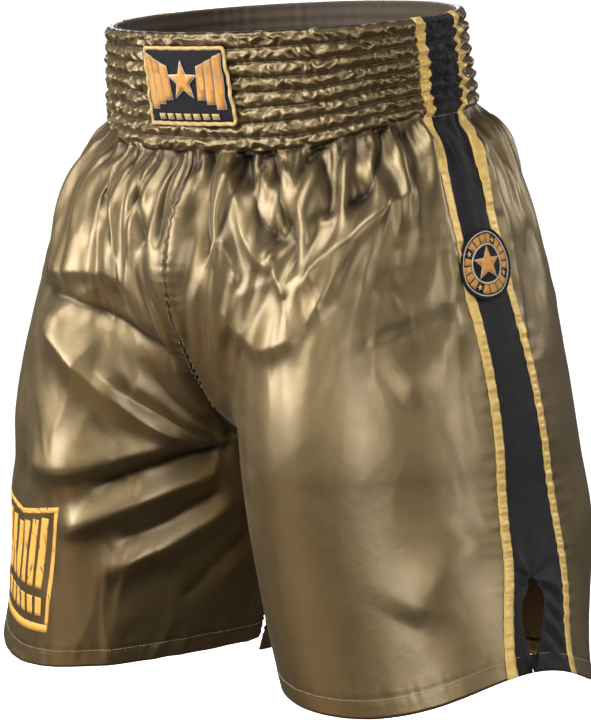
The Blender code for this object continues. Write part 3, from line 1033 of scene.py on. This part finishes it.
def stripe_material():
    made, tree, shader = new_material("stripe_black", (0.010, 0.009, 0.011), 0.66)
    set_inputs(shader, {"Specular IOR Level": 0.3, "Sheen Weight": 0.10})
    set_inputs(shader, {"Sheen Roughness": 0.45, "Sheen Tint": (0.6, 0.58, 0.66, 1)})
    rib = threads(tree, 0.0013, 0.7)
    colour = mix_colours(tree, rib, (0.0025, 0.002, 0.003), (0.017, 0.0145, 0.016))
    tree.links.new(colour, shader.inputs["Base Color"])
    vary_roughness(tree, shader, 0.01, 0.55, 0.7)
    weave = bump(tree, shader, rib, 0.00018, 0.7)
    bump(tree, shader, threads(tree, 0.0011, -0.75), 0.0001, 0.5, weave)
    return made


def tape_material():
    made, tree, shader = new_material("tape_gold", (0.8, 0.5, 0.12), 0.4, 0.3)
    set_inputs(shader, {"Sheen Weight": 0.3, "Sheen Tint": (1, 0.9, 0.6, 1)})
    colour = mix_colours(tree, noise(tree, 0.006), (0.68, 0.42, 0.09), (0.88, 0.63, 0.22))
    tree.links.new(colour, shader.inputs["Base Color"])
    vary_roughness(tree, shader, 0.004, 0.36, 0.5)
    weave = bump(tree, shader, threads(tree, 0.0006, math.pi / 2), 0.00006, 0.6)
    bump(tree, shader, noise(tree, 0.0015), 0.00008, 0.5, weave)
    return made


def plain_cloth_material(name, dark, light, roughness=0.7, size=0.004, sheen=0.2):
    made, tree, shader = new_material(name, light, roughness)
    set_inputs(shader, {"Sheen Weight": sheen, "Specular IOR Level": 0.3})
    colour = mix_colours(tree, noise(tree, size), dark, light)
    tree.links.new(colour, shader.inputs["Base Color"])
    vary_roughness(tree, shader, size * 2, roughness - 0.08, roughness + 0.08)
    bump(tree, shader, noise(tree, 0.0008, 3.0), 0.0001, 0.5)
    return made


def embroidery_material(name, dark, light):
    """Satin-stitch threads lying side by side."""
    made, tree, shader = new_material(name, light, 0.45, 0.15)
    shader.inputs["Sheen Weight"].default_value = 0.3
    rows = threads(tree, 0.0005, 0.12)
    tree.links.new(mix_colours(tree, rows, dark, light), shader.inputs["Base Color"])
    vary_roughness(tree, shader, 0.002, 0.38, 0.55)
    bump(tree, shader, rows, 0.00015, 0.9)
    return made


def print_material():
    """Screen print worn through in cracks and specks to the olive cloth."""
    made, tree, shader = new_material("print_gold", (0.85, 0.45, 0.08), 0.5)
    gold = mix_colours(tree, noise(tree, 0.03), (0.80, 0.40, 0.07), (0.90, 0.52, 0.12))
    worn = map_range(tree, noise(tree, (1 / 420, 1 / 420, 1 / 90), 5.0), 0.62, 0.66)
    tree.links.new(mix_colours(tree, worn, gold, (0.10, 0.075, 0.04)), shader.inputs["Base Color"])
    vary_roughness(tree, shader, 0.004, 0.42, 0.58)
    bump(tree, shader, noise(tree, 0.001), 0.00008, 0.5)
    return made


satin = satin_material()
stripe_cloth = stripe_material()
tape_cloth = tape_material()
lining_cloth = plain_cloth_material(
    "lining_olive", (0.075, 0.053, 0.034), (0.092, 0.066, 0.043), 0.65, 0.02, 0.1
)
elastic_rubber = plain_cloth_material("elastic_white", (0.62, 0.6, 0.55), (0.78, 0.76, 0.7))
badge_cloth = plain_cloth_material(
    "badge_black", (0.002, 0.002, 0.004), (0.007, 0.007, 0.011), 0.75, 0.001, 0.04
)
gold_thread = embroidery_material("thread_gold", (0.62, 0.40, 0.12), (0.95, 0.70, 0.30))
orange_thread = embroidery_material("thread_orange", (0.62, 0.24, 0.03), (0.95, 0.45, 0.07))
pale_thread = embroidery_material("thread_pale", (0.55, 0.48, 0.34), (0.85, 0.76, 0.58))
beige_thread = plain_cloth_material("thread_beige", (0.34, 0.27, 0.16), (0.52, 0.43, 0.27), 0.5, 0.002)
film = print_material()

# ---------------------------------------------------------------- the satin panels
SIDES = ((1, "left"), (-1, "right"))

for side, word in SIDES:
    add_panel(f"front_satin_{word}", side, lambda down: 0 * down, front_seam, f"front_panel_{word}")
    add_panel(f"back_satin_{word}", side, rear_seam, lambda down: 0 * down + 1, f"back_panel_{word}")


# ---------------------------------------------------------------- the side stripes, with their vents
VENT_ROW = 0.82
VENT_FORWARD = 0.011
VENT_SWING = 0.009  # how much further forward its foot lies
VENT_HALF_BELLY = 0.0125
VENT_HALF_HEM = 0.0007
STRIPE_COLUMNS = 34  # of each half of a stripe
STRIPE_CLOTH = 0.0006


def vent_edge(down, sign):
    """Where round the half a flap's free edge runs; above the vent both flaps meet."""
    share = np.clip((down - VENT_ROW) / (1 - VENT_ROW), 0, 1)
    belly = np.sin(math.pi * share**0.62) ** 0.8
    gap = np.where(down > VENT_ROW, VENT_HALF_BELLY * belly + VENT_HALF_HEM * share**2, 0.0)
    sideways = sign * gap - VENT_FORWARD - VENT_SWING * share
    return stripe_middle(down) + sideways / metres_around(stripe_middle(down), down)


def flap_relief(around, down):
    """Folds that fan out from the vent's top, and the flaps' edges rolling outwards."""
    metres = metres_around(around, down)
    below = np.clip((down - VENT_ROW) / (1 - VENT_ROW), 0, 1)
    x = (around - vent_edge(np.minimum(down, VENT_ROW), 0)) * metres
    y = (down - VENT_ROW) * BODY_LENGTH
    reach = np.hypot(x, y)
    turn = np.arctan2(y, x)
    fan = bell((reach - 0.014) / 0.020) * smooth(reach / 0.006)
    relief = 0.0016 * fan * np.sin(5.5 * turn + 0.8)
    to_front = (vent_edge(down, -1) - around) * metres
    to_rear = (around - vent_edge(down, 1)) * metres
    on = smooth(below / 0.12) * smooth((1 - below) / 0.10)
    front_flap = (to_front > -1e-4) * bell(to_front / 0.0040)
    rear_flap = (to_rear > -1e-4) * bell(to_rear / 0.0030)
    relief += on * (0.0062 * front_flap + 0.0018 * rear_flap)
    drag = np.sin(2 * math.pi * (y * 0.8 - x * 0.7) / 0.021) * smooth(to_rear / 0.01)
    relief += 0.0017 * drag * smooth(below / 0.2) * smooth((1 - below) / 0.25)
    from_seam = np.minimum(around - front_seam(down), rear_seam(down) - around) * metres
    return relief * smooth((from_seam - 0.0045) / 0.008)


def add_stripe(side, word):
    """Two grids that are one above the vent and hang apart below its top."""
    halves = []
    for sign in (-1, 1):
        def free(down):
            return vent_edge(down, sign)

        def sewn(down):
            return front_seam(down) if sign < 0 else rear_seam(down)

        low, high = (sewn, free) if sign < 0 else (free, sewn)
        points, uv = panel_grid(side, low, high, STRIPE_COLUMNS, flap_relief)
        halves.append(grid_mesh(f"half_{sign}", points, flip=side < 0, uv=uv))
    built = bmesh.new()
    for half in halves:
        built.from_mesh(half)
    bmesh.ops.remove_doubles(built, verts=built.verts, dist=1e-6)
    mesh = bpy.data.meshes.new("stripe_" + word)
    built.to_mesh(mesh)
    built.free()
    link("stripe_" + word, mesh, stripe_cloth, STRIPE_CLOTH, f"side_stripe_{word}")


for side, word in SIDES:
    add_stripe(side, word)

# ---------------------------------------------------------------- the tapes
TAPE_WIDTH = 0.0096
TAPE_RUNG = 0.0052  # between two of the gathers that its stitching pulls
TAPE_COLUMNS = 8
TAPE_RIM_FOLD = ((-0.0016, -0.0032), (-0.0023, -0.0024), (-0.0026, -0.0010))


def add_tape(side, word, place, seam):
    downs = cloth_rows(150, 420)[:, None]
    middle = seam(downs)
    metres = metres_around(middle, downs)
    across = np.linspace(-0.5, 0.5, TAPE_COLUMNS + 1)[None, :]
    around = middle + across * TAPE_WIDTH / metres
    length = np.where(downs < 0, downs * BAND_HEIGHT, downs * BODY_LENGTH)
    rung = np.abs(np.sin(math.pi * length / TAPE_RUNG + 0.4 * np.sin(length * 90))) ** 0.6
    crown = np.cos(math.pi * across) ** 0.35
    lift = 0.0006 + 0.00075 * rung * crown + 0 * around
    points = surface(side, around, downs, lift)
    points = np.concatenate([over_rim(side, around[0], TAPE_RIM_FOLD), points])
    fall = run_length(points[:, TAPE_COLUMNS // 2])
    uv = np.stack(np.broadcast_arrays(across * TAPE_WIDTH, -fall[:, None]), axis=-1)
    mesh = grid_mesh(f"tape_{place}_{word}", points, flip=side < 0, uv=uv)
    link(f"tape_{place}_{word}", mesh, tape_cloth, 0.0005, f"{place}_tape_{word}")


for side, word in SIDES:
    for place, seam in (("front", front_seam), ("rear", rear_seam)):
        add_tape(side, word, place, seam)


# ---------------------------------------------------------------- inside the waist
def add_lining():
    angle = np.linspace(0, 2 * math.pi, 720, endpoint=False)[None, :]
    depth = np.linspace(-0.0014, BAND_HEIGHT + 0.003, 60)[:, None]
    lines = np.cos(2 * math.pi * depth / CHANNEL_HEIGHT)
    out = -0.0046 - 0.0003 * lines + 0.0003 * noise_wave(angle, 77, (60, 83, 97))
    angle, depth, out = np.broadcast_arrays(angle, depth, out)
    points = band_point(angle, depth) + band_normal(angle) * out[..., None]
    uv = np.stack([angle * MEAN_RADIUS, -depth], axis=-1)
    mesh = grid_mesh("lining", points, uv=uv, closed=True)
    link("lining", mesh, lining_cloth, 0.0006, "waistband_lining")


add_lining()
for name, cad_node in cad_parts.items():
    if name.startswith("elastic_"):
        cad_node.data.materials.clear()
        cad_node.data.materials.append(elastic_rubber)


# ---------------------------------------------------------------- badges and print
def cut_polygon(outline, pitch):
    """A flat bmesh of the outline, cut into cells no wider than pitch so that it can bend."""
    built = bmesh.new()
    built.faces.new([built.verts.new((x, y, 0)) for x, y in outline])
    for axis in (0, 1):
        low = min(p[axis] for p in outline)
        high = max(p[axis] for p in outline)
        for i in range(1, int((high - low) / pitch) + 1):
            normal = (1, 0, 0) if axis == 0 else (0, 1, 0)
            where = tuple(c * (low + i * pitch) for c in normal)
            geometry = built.verts[:] + built.edges[:] + built.faces[:]
            bmesh.ops.bisect_plane(built, geom=geometry, plane_co=where, plane_no=normal)
    bmesh.ops.triangulate(built, faces=built.faces)
    return built


def add_shape(name, outlines, place, lift, thickness, material, pitch=0.004, stands_for=None):
    """Flat outlines laid on the cloth by place(x, y, lift), joined in one piece."""
    joined = bmesh.new()
    for outline in outlines:
        built = cut_polygon(outline, pitch)
        scratch = bpy.data.meshes.new("scratch")
        built.to_mesh(scratch)
        built.free()
        joined.from_mesh(scratch)
        bpy.data.meshes.remove(scratch)
    flat = np.array([v.co[:2] for v in joined.verts])
    placed = place(flat[:, 0], flat[:, 1], lift)
    layer = joined.loops.layers.uv.new("metres")
    for face in joined.faces:
        for loop in face.loops:
            loop[layer].uv = flat[loop.vert.index]
    for vertex, point in zip(joined.verts, placed):
        vertex.co = point
    mesh = bpy.data.meshes.new(name)
    joined.to_mesh(mesh)
    joined.free()
    link(name, mesh, material, thickness, stands_for)


def star(radius, centre=(0, 0)):
    """A five-pointed star with one point up."""
    outline = []
    for i in range(10):
        reach = radius if i % 2 == 0 else radius * STAR_INNER_SHARE
        angle = math.pi / 2 + math.pi * i / 5
        outline.append((centre[0] + reach * math.cos(angle), centre[1] + reach * math.sin(angle)))
    return outline


STAR_INNER_SHARE = 0.42


def rectangle(low_x, low_y, high_x, high_y):
    return [(low_x, low_y), (high_x, low_y), (high_x, high_y), (low_x, high_y)]


def ring_sector(inner, outer, start, end, steps):
    angles = [between(start, end, i / steps) for i in range(steps + 1)]
    outline = [(outer * math.cos(a), outer * math.sin(a)) for a in angles]
    return outline + [(inner * math.cos(a), inner * math.sin(a)) for a in reversed(angles)]


def add_edging(name, points, normals, radius, material, pitch):
    """A closed round edging along a path, ribbed like overlock thread at a pitch."""
    ahead = unit(np.roll(points, -1, axis=0) - np.roll(points, 1, axis=0))
    out = unit(normals - ahead * (normals * ahead).sum(axis=-1, keepdims=True))
    aside = np.cross(ahead, out)
    turn = np.linspace(0, 2 * math.pi, EDGING_SIDES, endpoint=False)[None, :]
    reach = radius * (0.86 + 0.2 * np.abs(np.sin(math.pi * run_length(points)[:, None] / pitch + turn / 2)))
    ring = (
        points[:, None]
        + out[:, None] * (np.cos(turn) * reach * EDGING_FLATNESS)[..., None]
        + aside[:, None] * (np.sin(turn) * reach)[..., None]
    )
    ring = np.concatenate([ring, ring[:1]])
    uv = np.stack(np.broadcast_arrays(turn * radius, np.arange(len(ring))[:, None] * 0.0005), axis=-1)
    mesh = grid_mesh(name, ring, uv=uv, closed=True)
    built = bmesh.new()
    built.from_mesh(mesh)
    bmesh.ops.remove_doubles(built, verts=built.verts, dist=1e-7)
    bmesh.ops.recalc_face_normals(built, faces=built.faces)
    built.to_mesh(mesh)
    built.free()
    link(name, mesh, material)


EDGING_SIDES = 8
EDGING_FLATNESS = 0.75
BORDER_PITCH, RING_PITCH = 0.0011, 0.0009  # of the thread in the front badge's edging and the round one's
BADGE_HALF_WIDTH, BADGE_HALF_HEIGHT, BADGE_CENTRE_DEPTH = 0.0460, 0.0315, 0.0410
BADGE_LEAN = 0.10  # how far it leans, per metre of its height
BADGE_OUT = 0.0062


def place_on_band(x, y, lift):
    """The front badge's own plane: x towards the wearer's left, y up."""
    angle = (x - BADGE_LEAN * y) / WAIST_HALF_WIDTH
    edge = np.maximum(np.abs(x) / BADGE_HALF_WIDTH, np.abs(y) / BADGE_HALF_HEIGHT) ** 4
    wobble = 0.0005 * np.sin(y * 520) * edge + 0.0004 * np.sin(x * 610 + 1) * edge
    shift = 0.0006 * np.sin(y * 260 + 0.6) * (np.abs(x) / BADGE_HALF_WIDTH) ** 3
    out = BADGE_OUT - 0.0012 * edge + wobble + lift
    return band_point(angle + shift / WAIST_HALF_WIDTH, BADGE_CENTRE_DEPTH - y) + (
        band_normal(angle) * out[..., None]
    )


def rounded_rectangle(half_width, half_height, corner, steps=5):
    """Its outline, with a point about every 1.2 mm along the straight sides."""
    outline = []
    for cx, cy, start in ((1, 1, 0), (-1, 1, 1), (-1, -1, 2), (1, -1, 3)):
        for i in range(steps + 1):
            angle = math.pi / 2 * (start + i / steps)
            x = cx * (half_width - corner) + corner * math.cos(angle)
            y = cy * (half_height - corner) + corner * math.sin(angle)
            outline.append((x, y))
    dense = []
    for (x0, y0), (x1, y1) in zip(outline, outline[1:] + outline[:1]):
        pieces = max(1, int(math.hypot(x1 - x0, y1 - y0) / 0.0012))
        dense += [(between(x0, x1, i / pieces), between(y0, y1, i / pieces)) for i in range(pieces)]
    return dense


def badge_bar(near, far, low, high, sign):
    """The outline of one of the bars that fan out beside the star, on one side of it."""
    corners = [(near, low), (far, low), (far + BAR_LEAN, high), (near + BAR_LEAN, high - 0.003)]
    return [(sign * x, y) for x, y in corners][::sign]


BAR_LEAN = 0.0030


def add_front_badge():
    """Black twill with a gold edge, and on it a star between bars over a row of blocks."""
    outline = rounded_rectangle(BADGE_HALF_WIDTH - 0.001, BADGE_HALF_HEIGHT - 0.001, 0.002)
    add_shape("badge_ground", [outline[::3]], place_on_band, 0.0, 0.0012, badge_cloth,
              stands_for="front_badge")
    flat = np.array(outline)
    points = place_on_band(flat[:, 0], flat[:, 1], 0.0002 + 0 * flat[:, 0])
    normals = band_normal(flat[:, 0] / WAIST_HALF_WIDTH)
    add_edging("badge_border", points, normals, 0.0017, gold_thread, BORDER_PITCH)
    bars, edges = [], []
    for i, height in enumerate((0.0150, 0.0185, 0.0225)):
        for sign in (-1, 1):
            for grown, kept in ((0.0, bars), (0.0008, edges)):
                near, far = 0.0140 + i * 0.0088 - grown, 0.0212 + i * 0.0088 + grown
                low, high = -height + 0.0045 - grown, height + 0.0035 + grown
                kept.append(badge_bar(near, far, low, high, sign))
    star_place = (0, 0.004)
    blocks = [rectangle(-0.0325 + i * 0.0095, -0.0270, -0.0255 + i * 0.0095, -0.0222) for i in range(7)]
    for name, shapes, lift, thickness, thread in (
        ("bar_edges", edges, 0.0011, 0.0006, pale_thread),
        ("bars", bars, 0.0017, 0.0007, orange_thread),
        ("star_edge", [star(0.0172, star_place)], 0.0012, 0.0007, pale_thread),
        ("star", [star(0.0140, star_place)], 0.0019, 0.0008, orange_thread),
        ("blocks", blocks, 0.0012, 0.0007, gold_thread),
    ):
        add_shape(f"badge_{name}", shapes, place_on_band, lift, thickness, thread)


add_front_badge()

SIDE_BADGE_RADIUS, SIDE_BADGE_ROW = 0.0265, 0.245
side_badge_around = float(stripe_middle(np.array(SIDE_BADGE_ROW)))
side_badge_metres = float(metres_around(np.array(side_badge_around), np.array(SIDE_BADGE_ROW)))


def place_on_stripe(x, y, lift):
    """The round badge's own plane on the left stripe: x towards the back, y up."""
    around = side_badge_around + x / side_badge_metres
    down = SIDE_BADGE_ROW - y / BODY_LENGTH
    point, normal = drape_frame(1, around, down)
    return point + normal * (0.0019 + np.asarray(lift) + 0 * around)[..., None]


def circle(radius, steps=72):
    turns = [2 * math.pi * i / steps for i in range(steps)]
    return [(radius * math.cos(turn), radius * math.sin(turn)) for turn in turns]


def add_badge_ring(name, radius, thickness, lift, material):
    turn = np.linspace(0, 2 * math.pi, 220, endpoint=False)
    x, y = radius * np.cos(turn), radius * np.sin(turn)
    around, down = side_badge_around + x / side_badge_metres, SIDE_BADGE_ROW - y / BODY_LENGTH
    normals = drape_frame(1, around, down)[1]
    points = place_on_stripe(x, y, lift + 0 * x)
    add_edging(f"round_badge_{name}", points, normals, thickness, material, RING_PITCH)


def add_side_badge():
    """Black twill with a star inside a ring of plain blocks and small stars."""
    add_shape("round_badge_ground", [circle(SIDE_BADGE_RADIUS)], place_on_stripe, 0.0, 0.0010, badge_cloth,
              stands_for="side_badge")
    add_badge_ring("edge", SIDE_BADGE_RADIUS, 0.0013, 0.0, badge_cloth)
    add_badge_ring("outer_ring", SIDE_BADGE_RADIUS - 0.0022, 0.0006, 0.0003, pale_thread)
    add_badge_ring("inner_ring", 0.0148, 0.0008, 0.0004, pale_thread)
    band = [ring_sector(0.0160, 0.0226, math.radians(a + 1.5), math.radians(a + 16.5), 4)
            for a in range(0, 360, 18) if a % 90 != 54]
    places = [(0.0193 * math.cos(math.radians(a)), 0.0193 * math.sin(math.radians(a)))
              for a in (63, 153, 243, 333)]
    for name, shapes, lift, thickness, thread in (
        ("band", band, 0.0006, 0.0006, orange_thread),
        ("small_stars", [star(0.0026, place) for place in places], 0.0006, 0.0006, gold_thread),
        ("star_edge", [star(0.0138)], 0.0005, 0.0005, pale_thread),
        ("star", [star(0.0120)], 0.0011, 0.0006, orange_thread),
    ):
        add_shape(f"round_badge_{name}", shapes, place_on_stripe, lift, thickness, thread, 0.003)


add_side_badge()

PRINT_AROUND, PRINT_DOWN = 0.313, 0.822


def place_on_leg(x, y, lift):
    """The print's own plane on the right leg: x towards the wearer's left, y up."""
    metres = metres_around(np.full_like(x, PRINT_AROUND), np.full_like(x, PRINT_DOWN))
    return surface(-1, PRINT_AROUND - x / metres, PRINT_DOWN - y / BODY_LENGTH, lift)


def add_print():
    """Seven worn bars under a hollow top edge, with a row of blocks below them."""
    shapes = []
    for i in range(7):
        low, high = -0.052 + i * 0.0137, -0.0425 + i * 0.0137
        top = 0.031 + 0.0035 * abs(i - 3)
        shapes.append([(low, -0.020), (high, -0.020), (high + 0.003, top), (low + 0.003, top)])
        shapes.append(rectangle(low, -0.041, high, -0.027))
    shapes.append(rectangle(-0.058, -0.053, 0.050, -0.047))
    shapes.append([(0.046, -0.047), (0.051, -0.047), (0.056, 0.050), (0.051, 0.049)])
    shapes.append([(-0.056, 0.050), (0.0, 0.039), (0.0, 0.044), (-0.056, 0.055)])
    shapes.append([(0.0, 0.039), (0.056, 0.050), (0.057, 0.055), (0.0, 0.044)])
    add_shape("leg_print", shapes, place_on_leg, 0.0003, 0.0002, film, 0.003, "leg_print_right")


add_print()


# ---------------------------------------------------------------- sewing thread
STITCH_SIDES = 5


def add_stitches(name, path, normals, pitch, length, radius, material):
    """Separate stitches along a path: short rods that dip into the cloth at both ends."""
    arc = run_length(path)
    count = int(arc[-1] / pitch)
    starts = np.arange(count) * pitch
    profile = np.array([0.0, 0.2, 0.5, 0.8, 1.0])
    rise = np.array([-0.9, 0.6, 1.0, 0.6, -0.9]) * radius
    rings, sides = len(profile), STITCH_SIDES
    turn = np.linspace(0, 2 * math.pi, sides, endpoint=False)

    def along(values, where):
        return np.stack([np.interp(where, arc, values[:, k]) for k in range(3)], axis=-1)

    where = starts[:, None] + profile[None, :] * length
    centre = along(path, where.ravel()).reshape(count, rings, 3)
    out = unit(along(normals, where.ravel())).reshape(count, rings, 3)
    centre = centre + out * rise[None, :, None]
    ahead = unit(centre[:, -1] - centre[:, 0])[:, None, :]
    aside = unit(np.cross(np.broadcast_to(ahead, out.shape), out))
    ring = (
        centre[:, :, None]
        + out[:, :, None] * (np.cos(turn) * radius)[None, None, :, None]
        + aside[:, :, None] * (np.sin(turn) * radius)[None, None, :, None]
    )
    faces = []
    for i in range(count):
        first = i * rings * sides
        for r in range(rings - 1):
            for k in range(sides):
                n = (k + 1) % sides
                a = first + r * sides
                faces.append((a + k, a + sides + k, a + sides + n, a + n))
        faces.append(tuple(first + k for k in range(sides)))
        faces.append(tuple(first + (rings - 1) * sides + k for k in reversed(range(sides))))
    mesh = bpy.data.meshes.new(name)
    mesh.from_pydata(ring.reshape(-1, 3).tolist(), [], faces)
    link(name, mesh, material)


def seam_path(side, around, down, lift):
    """Points along a line on the cloth and the directions outwards from it."""
    points = surface(side, around, down, lift)
    inner = surface(side, around, down, lift - 0.001)
    return points, unit(points - inner)


def add_thread():
    """Stitches round the hems, along the stripes' tops and beside the middle seams."""
    hem_down = 1 - HEM_HEIGHT / BODY_LENGTH
    for side, word in SIDES:
        around = np.linspace(0.002, 0.998, 900)
        path, normals = seam_path(side, around, np.full_like(around, hem_down), 0.0001)
        add_stitches(f"hem_stitches_{word}", path, normals, 0.0033, 0.0026, 0.00022, beige_thread)
        foot = np.linspace(float(front_seam(np.array(0.0))), float(rear_seam(np.array(0.0))), 60)
        path, normals = seam_path(side, foot, np.full_like(foot, -0.004), 0.0004)
        add_stitches(f"band_foot_stitches_{word}", path, normals, 0.0036, 0.0018, 0.00025, pale_thread)
        down = np.linspace(0.012, CROTCH_ROW - 0.01, 500)
        for seam, place in ((0.0, "front"), (1.0, "back")):
            metres = metres_around(np.full_like(down, seam), down)
            offset = 0.0022 / metres * (1 if seam == 0.0 else -1)
            path, normals = seam_path(side, seam + offset, down, 0.0001)
            add_stitches(f"{place}_seam_stitches_{word}", path, normals, 0.0034, 0.0026, 0.0002,
                         beige_thread)


add_thread()


# ---------------------------------------------------------------- camera, light and stage
CAMERA_AZIMUTH, CAMERA_ELEVATION, CAMERA_DISTANCE, CAMERA_LENS = 40.0, 6.3, 2.5, 146.0
CAMERA_TARGET = Vector((0.0026, 0.0140, -0.2912))


def add_camera():
    azimuth, elevation = math.radians(CAMERA_AZIMUTH), math.radians(CAMERA_ELEVATION)
    back = Vector((math.sin(azimuth) * math.cos(elevation), -math.cos(azimuth) * math.cos(elevation),
                   math.sin(elevation)))
    data = bpy.data.cameras.new("camera")
    data.lens = CAMERA_LENS
    data.sensor_width = 36
    camera = bpy.data.objects.new("camera", data)
    camera.location = CAMERA_TARGET + back * CAMERA_DISTANCE
    camera.rotation_mode = "QUATERNION"
    camera.rotation_quaternion = (-back).to_track_quat("-Z", "Y")
    bpy.context.scene.collection.objects.link(camera)
    bpy.context.scene.camera = camera


def add_lamp(name, place, size, power, colour):
    data = bpy.data.lights.new(name, "AREA")
    data.shape = "RECTANGLE"
    data.size, data.size_y = size
    data.energy = power
    data.color = colour
    light = bpy.data.objects.new(name, data)
    light.location = place
    light.rotation_mode = "QUATERNION"
    light.rotation_quaternion = (LAMP_TARGET - Vector(place)).to_track_quat("-Z", "Y")
    bpy.context.scene.collection.objects.link(light)


def glowing(name, brightness):
    made, _, shader = new_material(name, (0.9, 0.9, 0.9), 0.8)
    set_inputs(shader, {"Emission Color": (1, 1, 1, 1), "Emission Strength": brightness})
    return made


def add_stage():
    """A pale floor and a pale round backdrop. They throw no light on the shorts, the lamps do that."""
    bpy.ops.mesh.primitive_plane_add(size=2 * BACKDROP_RADIUS, location=(0, 0, CAD_LOW.z - FLOOR_DROP))
    floor = bpy.context.object
    floor.name = "floor"
    bpy.ops.mesh.primitive_uv_sphere_add(segments=64, ring_count=32, radius=BACKDROP_RADIUS)
    backdrop = bpy.context.object
    backdrop.name = "backdrop"
    for piece in (floor, backdrop):
        piece.data.materials.append(glowing(piece.name, STAGE_BRIGHTNESS))
        piece.visible_diffuse = False
        piece.visible_glossy = False
        piece.visible_shadow = False
    world = bpy.data.worlds.new("studio")
    world.use_nodes = True
    tree = world.node_tree
    background = tree.nodes["Background"]
    background.inputs["Strength"].default_value = 1.0
    place = node(tree, "ShaderNodeTexCoord")
    split = node(tree, "ShaderNodeSeparateXYZ")
    tree.links.new(place.outputs["Generated"], split.inputs["Vector"])
    height = map_range(tree, split.outputs["Z"], -0.5, 0.7, interpolation_type="SMOOTHSTEP")
    shade = mix_colours(tree, height, WORLD_LOW, WORLD_HIGH)
    tree.links.new(shade, background.inputs["Color"])
    bpy.context.scene.world = world


BACKDROP_RADIUS, FLOOR_DROP, STAGE_BRIGHTNESS = 12.0, 0.45, 1.0
WORLD_LOW, WORLD_HIGH = (0.05, 0.042, 0.034), (0.17, 0.17, 0.175)

LAMP_TARGET = Vector((0, 0, -0.3))
LAMPS = (  # name, place, width and height, power, colour
    ("key", (-1.7, -2.2, 0.35), (0.8, 1.4), 66, (1, 1, 1)),
    ("front", (1.5, -2.5, -0.15), (0.5, 1.2), 27, (1, 1, 1)),
    ("side", (2.6, 0.1, 0.1), (0.5, 1.6), 19, (1, 1, 1)),
    ("rear_left", (1.6, 2.2, 0.9), (0.9, 1.2), 22, (1, 1, 1)),
    ("rear_right", (-1.8, 1.8, 0.9), (0.9, 1.2), 30, (1, 1, 1)),
    ("top", (-0.5, -1.7, 1.7), (1.4, 1.0), 44, (1, 1, 1)),
    ("floor_glow", (-0.9, -1.3, -1.25), (1.2, 0.8), 2.6, (1.0, 0.70, 0.40)),
)

add_camera()
for lamp in LAMPS:
    add_lamp(*lamp)
add_stage()
bpy.context.scene.view_settings.view_transform = "Standard"
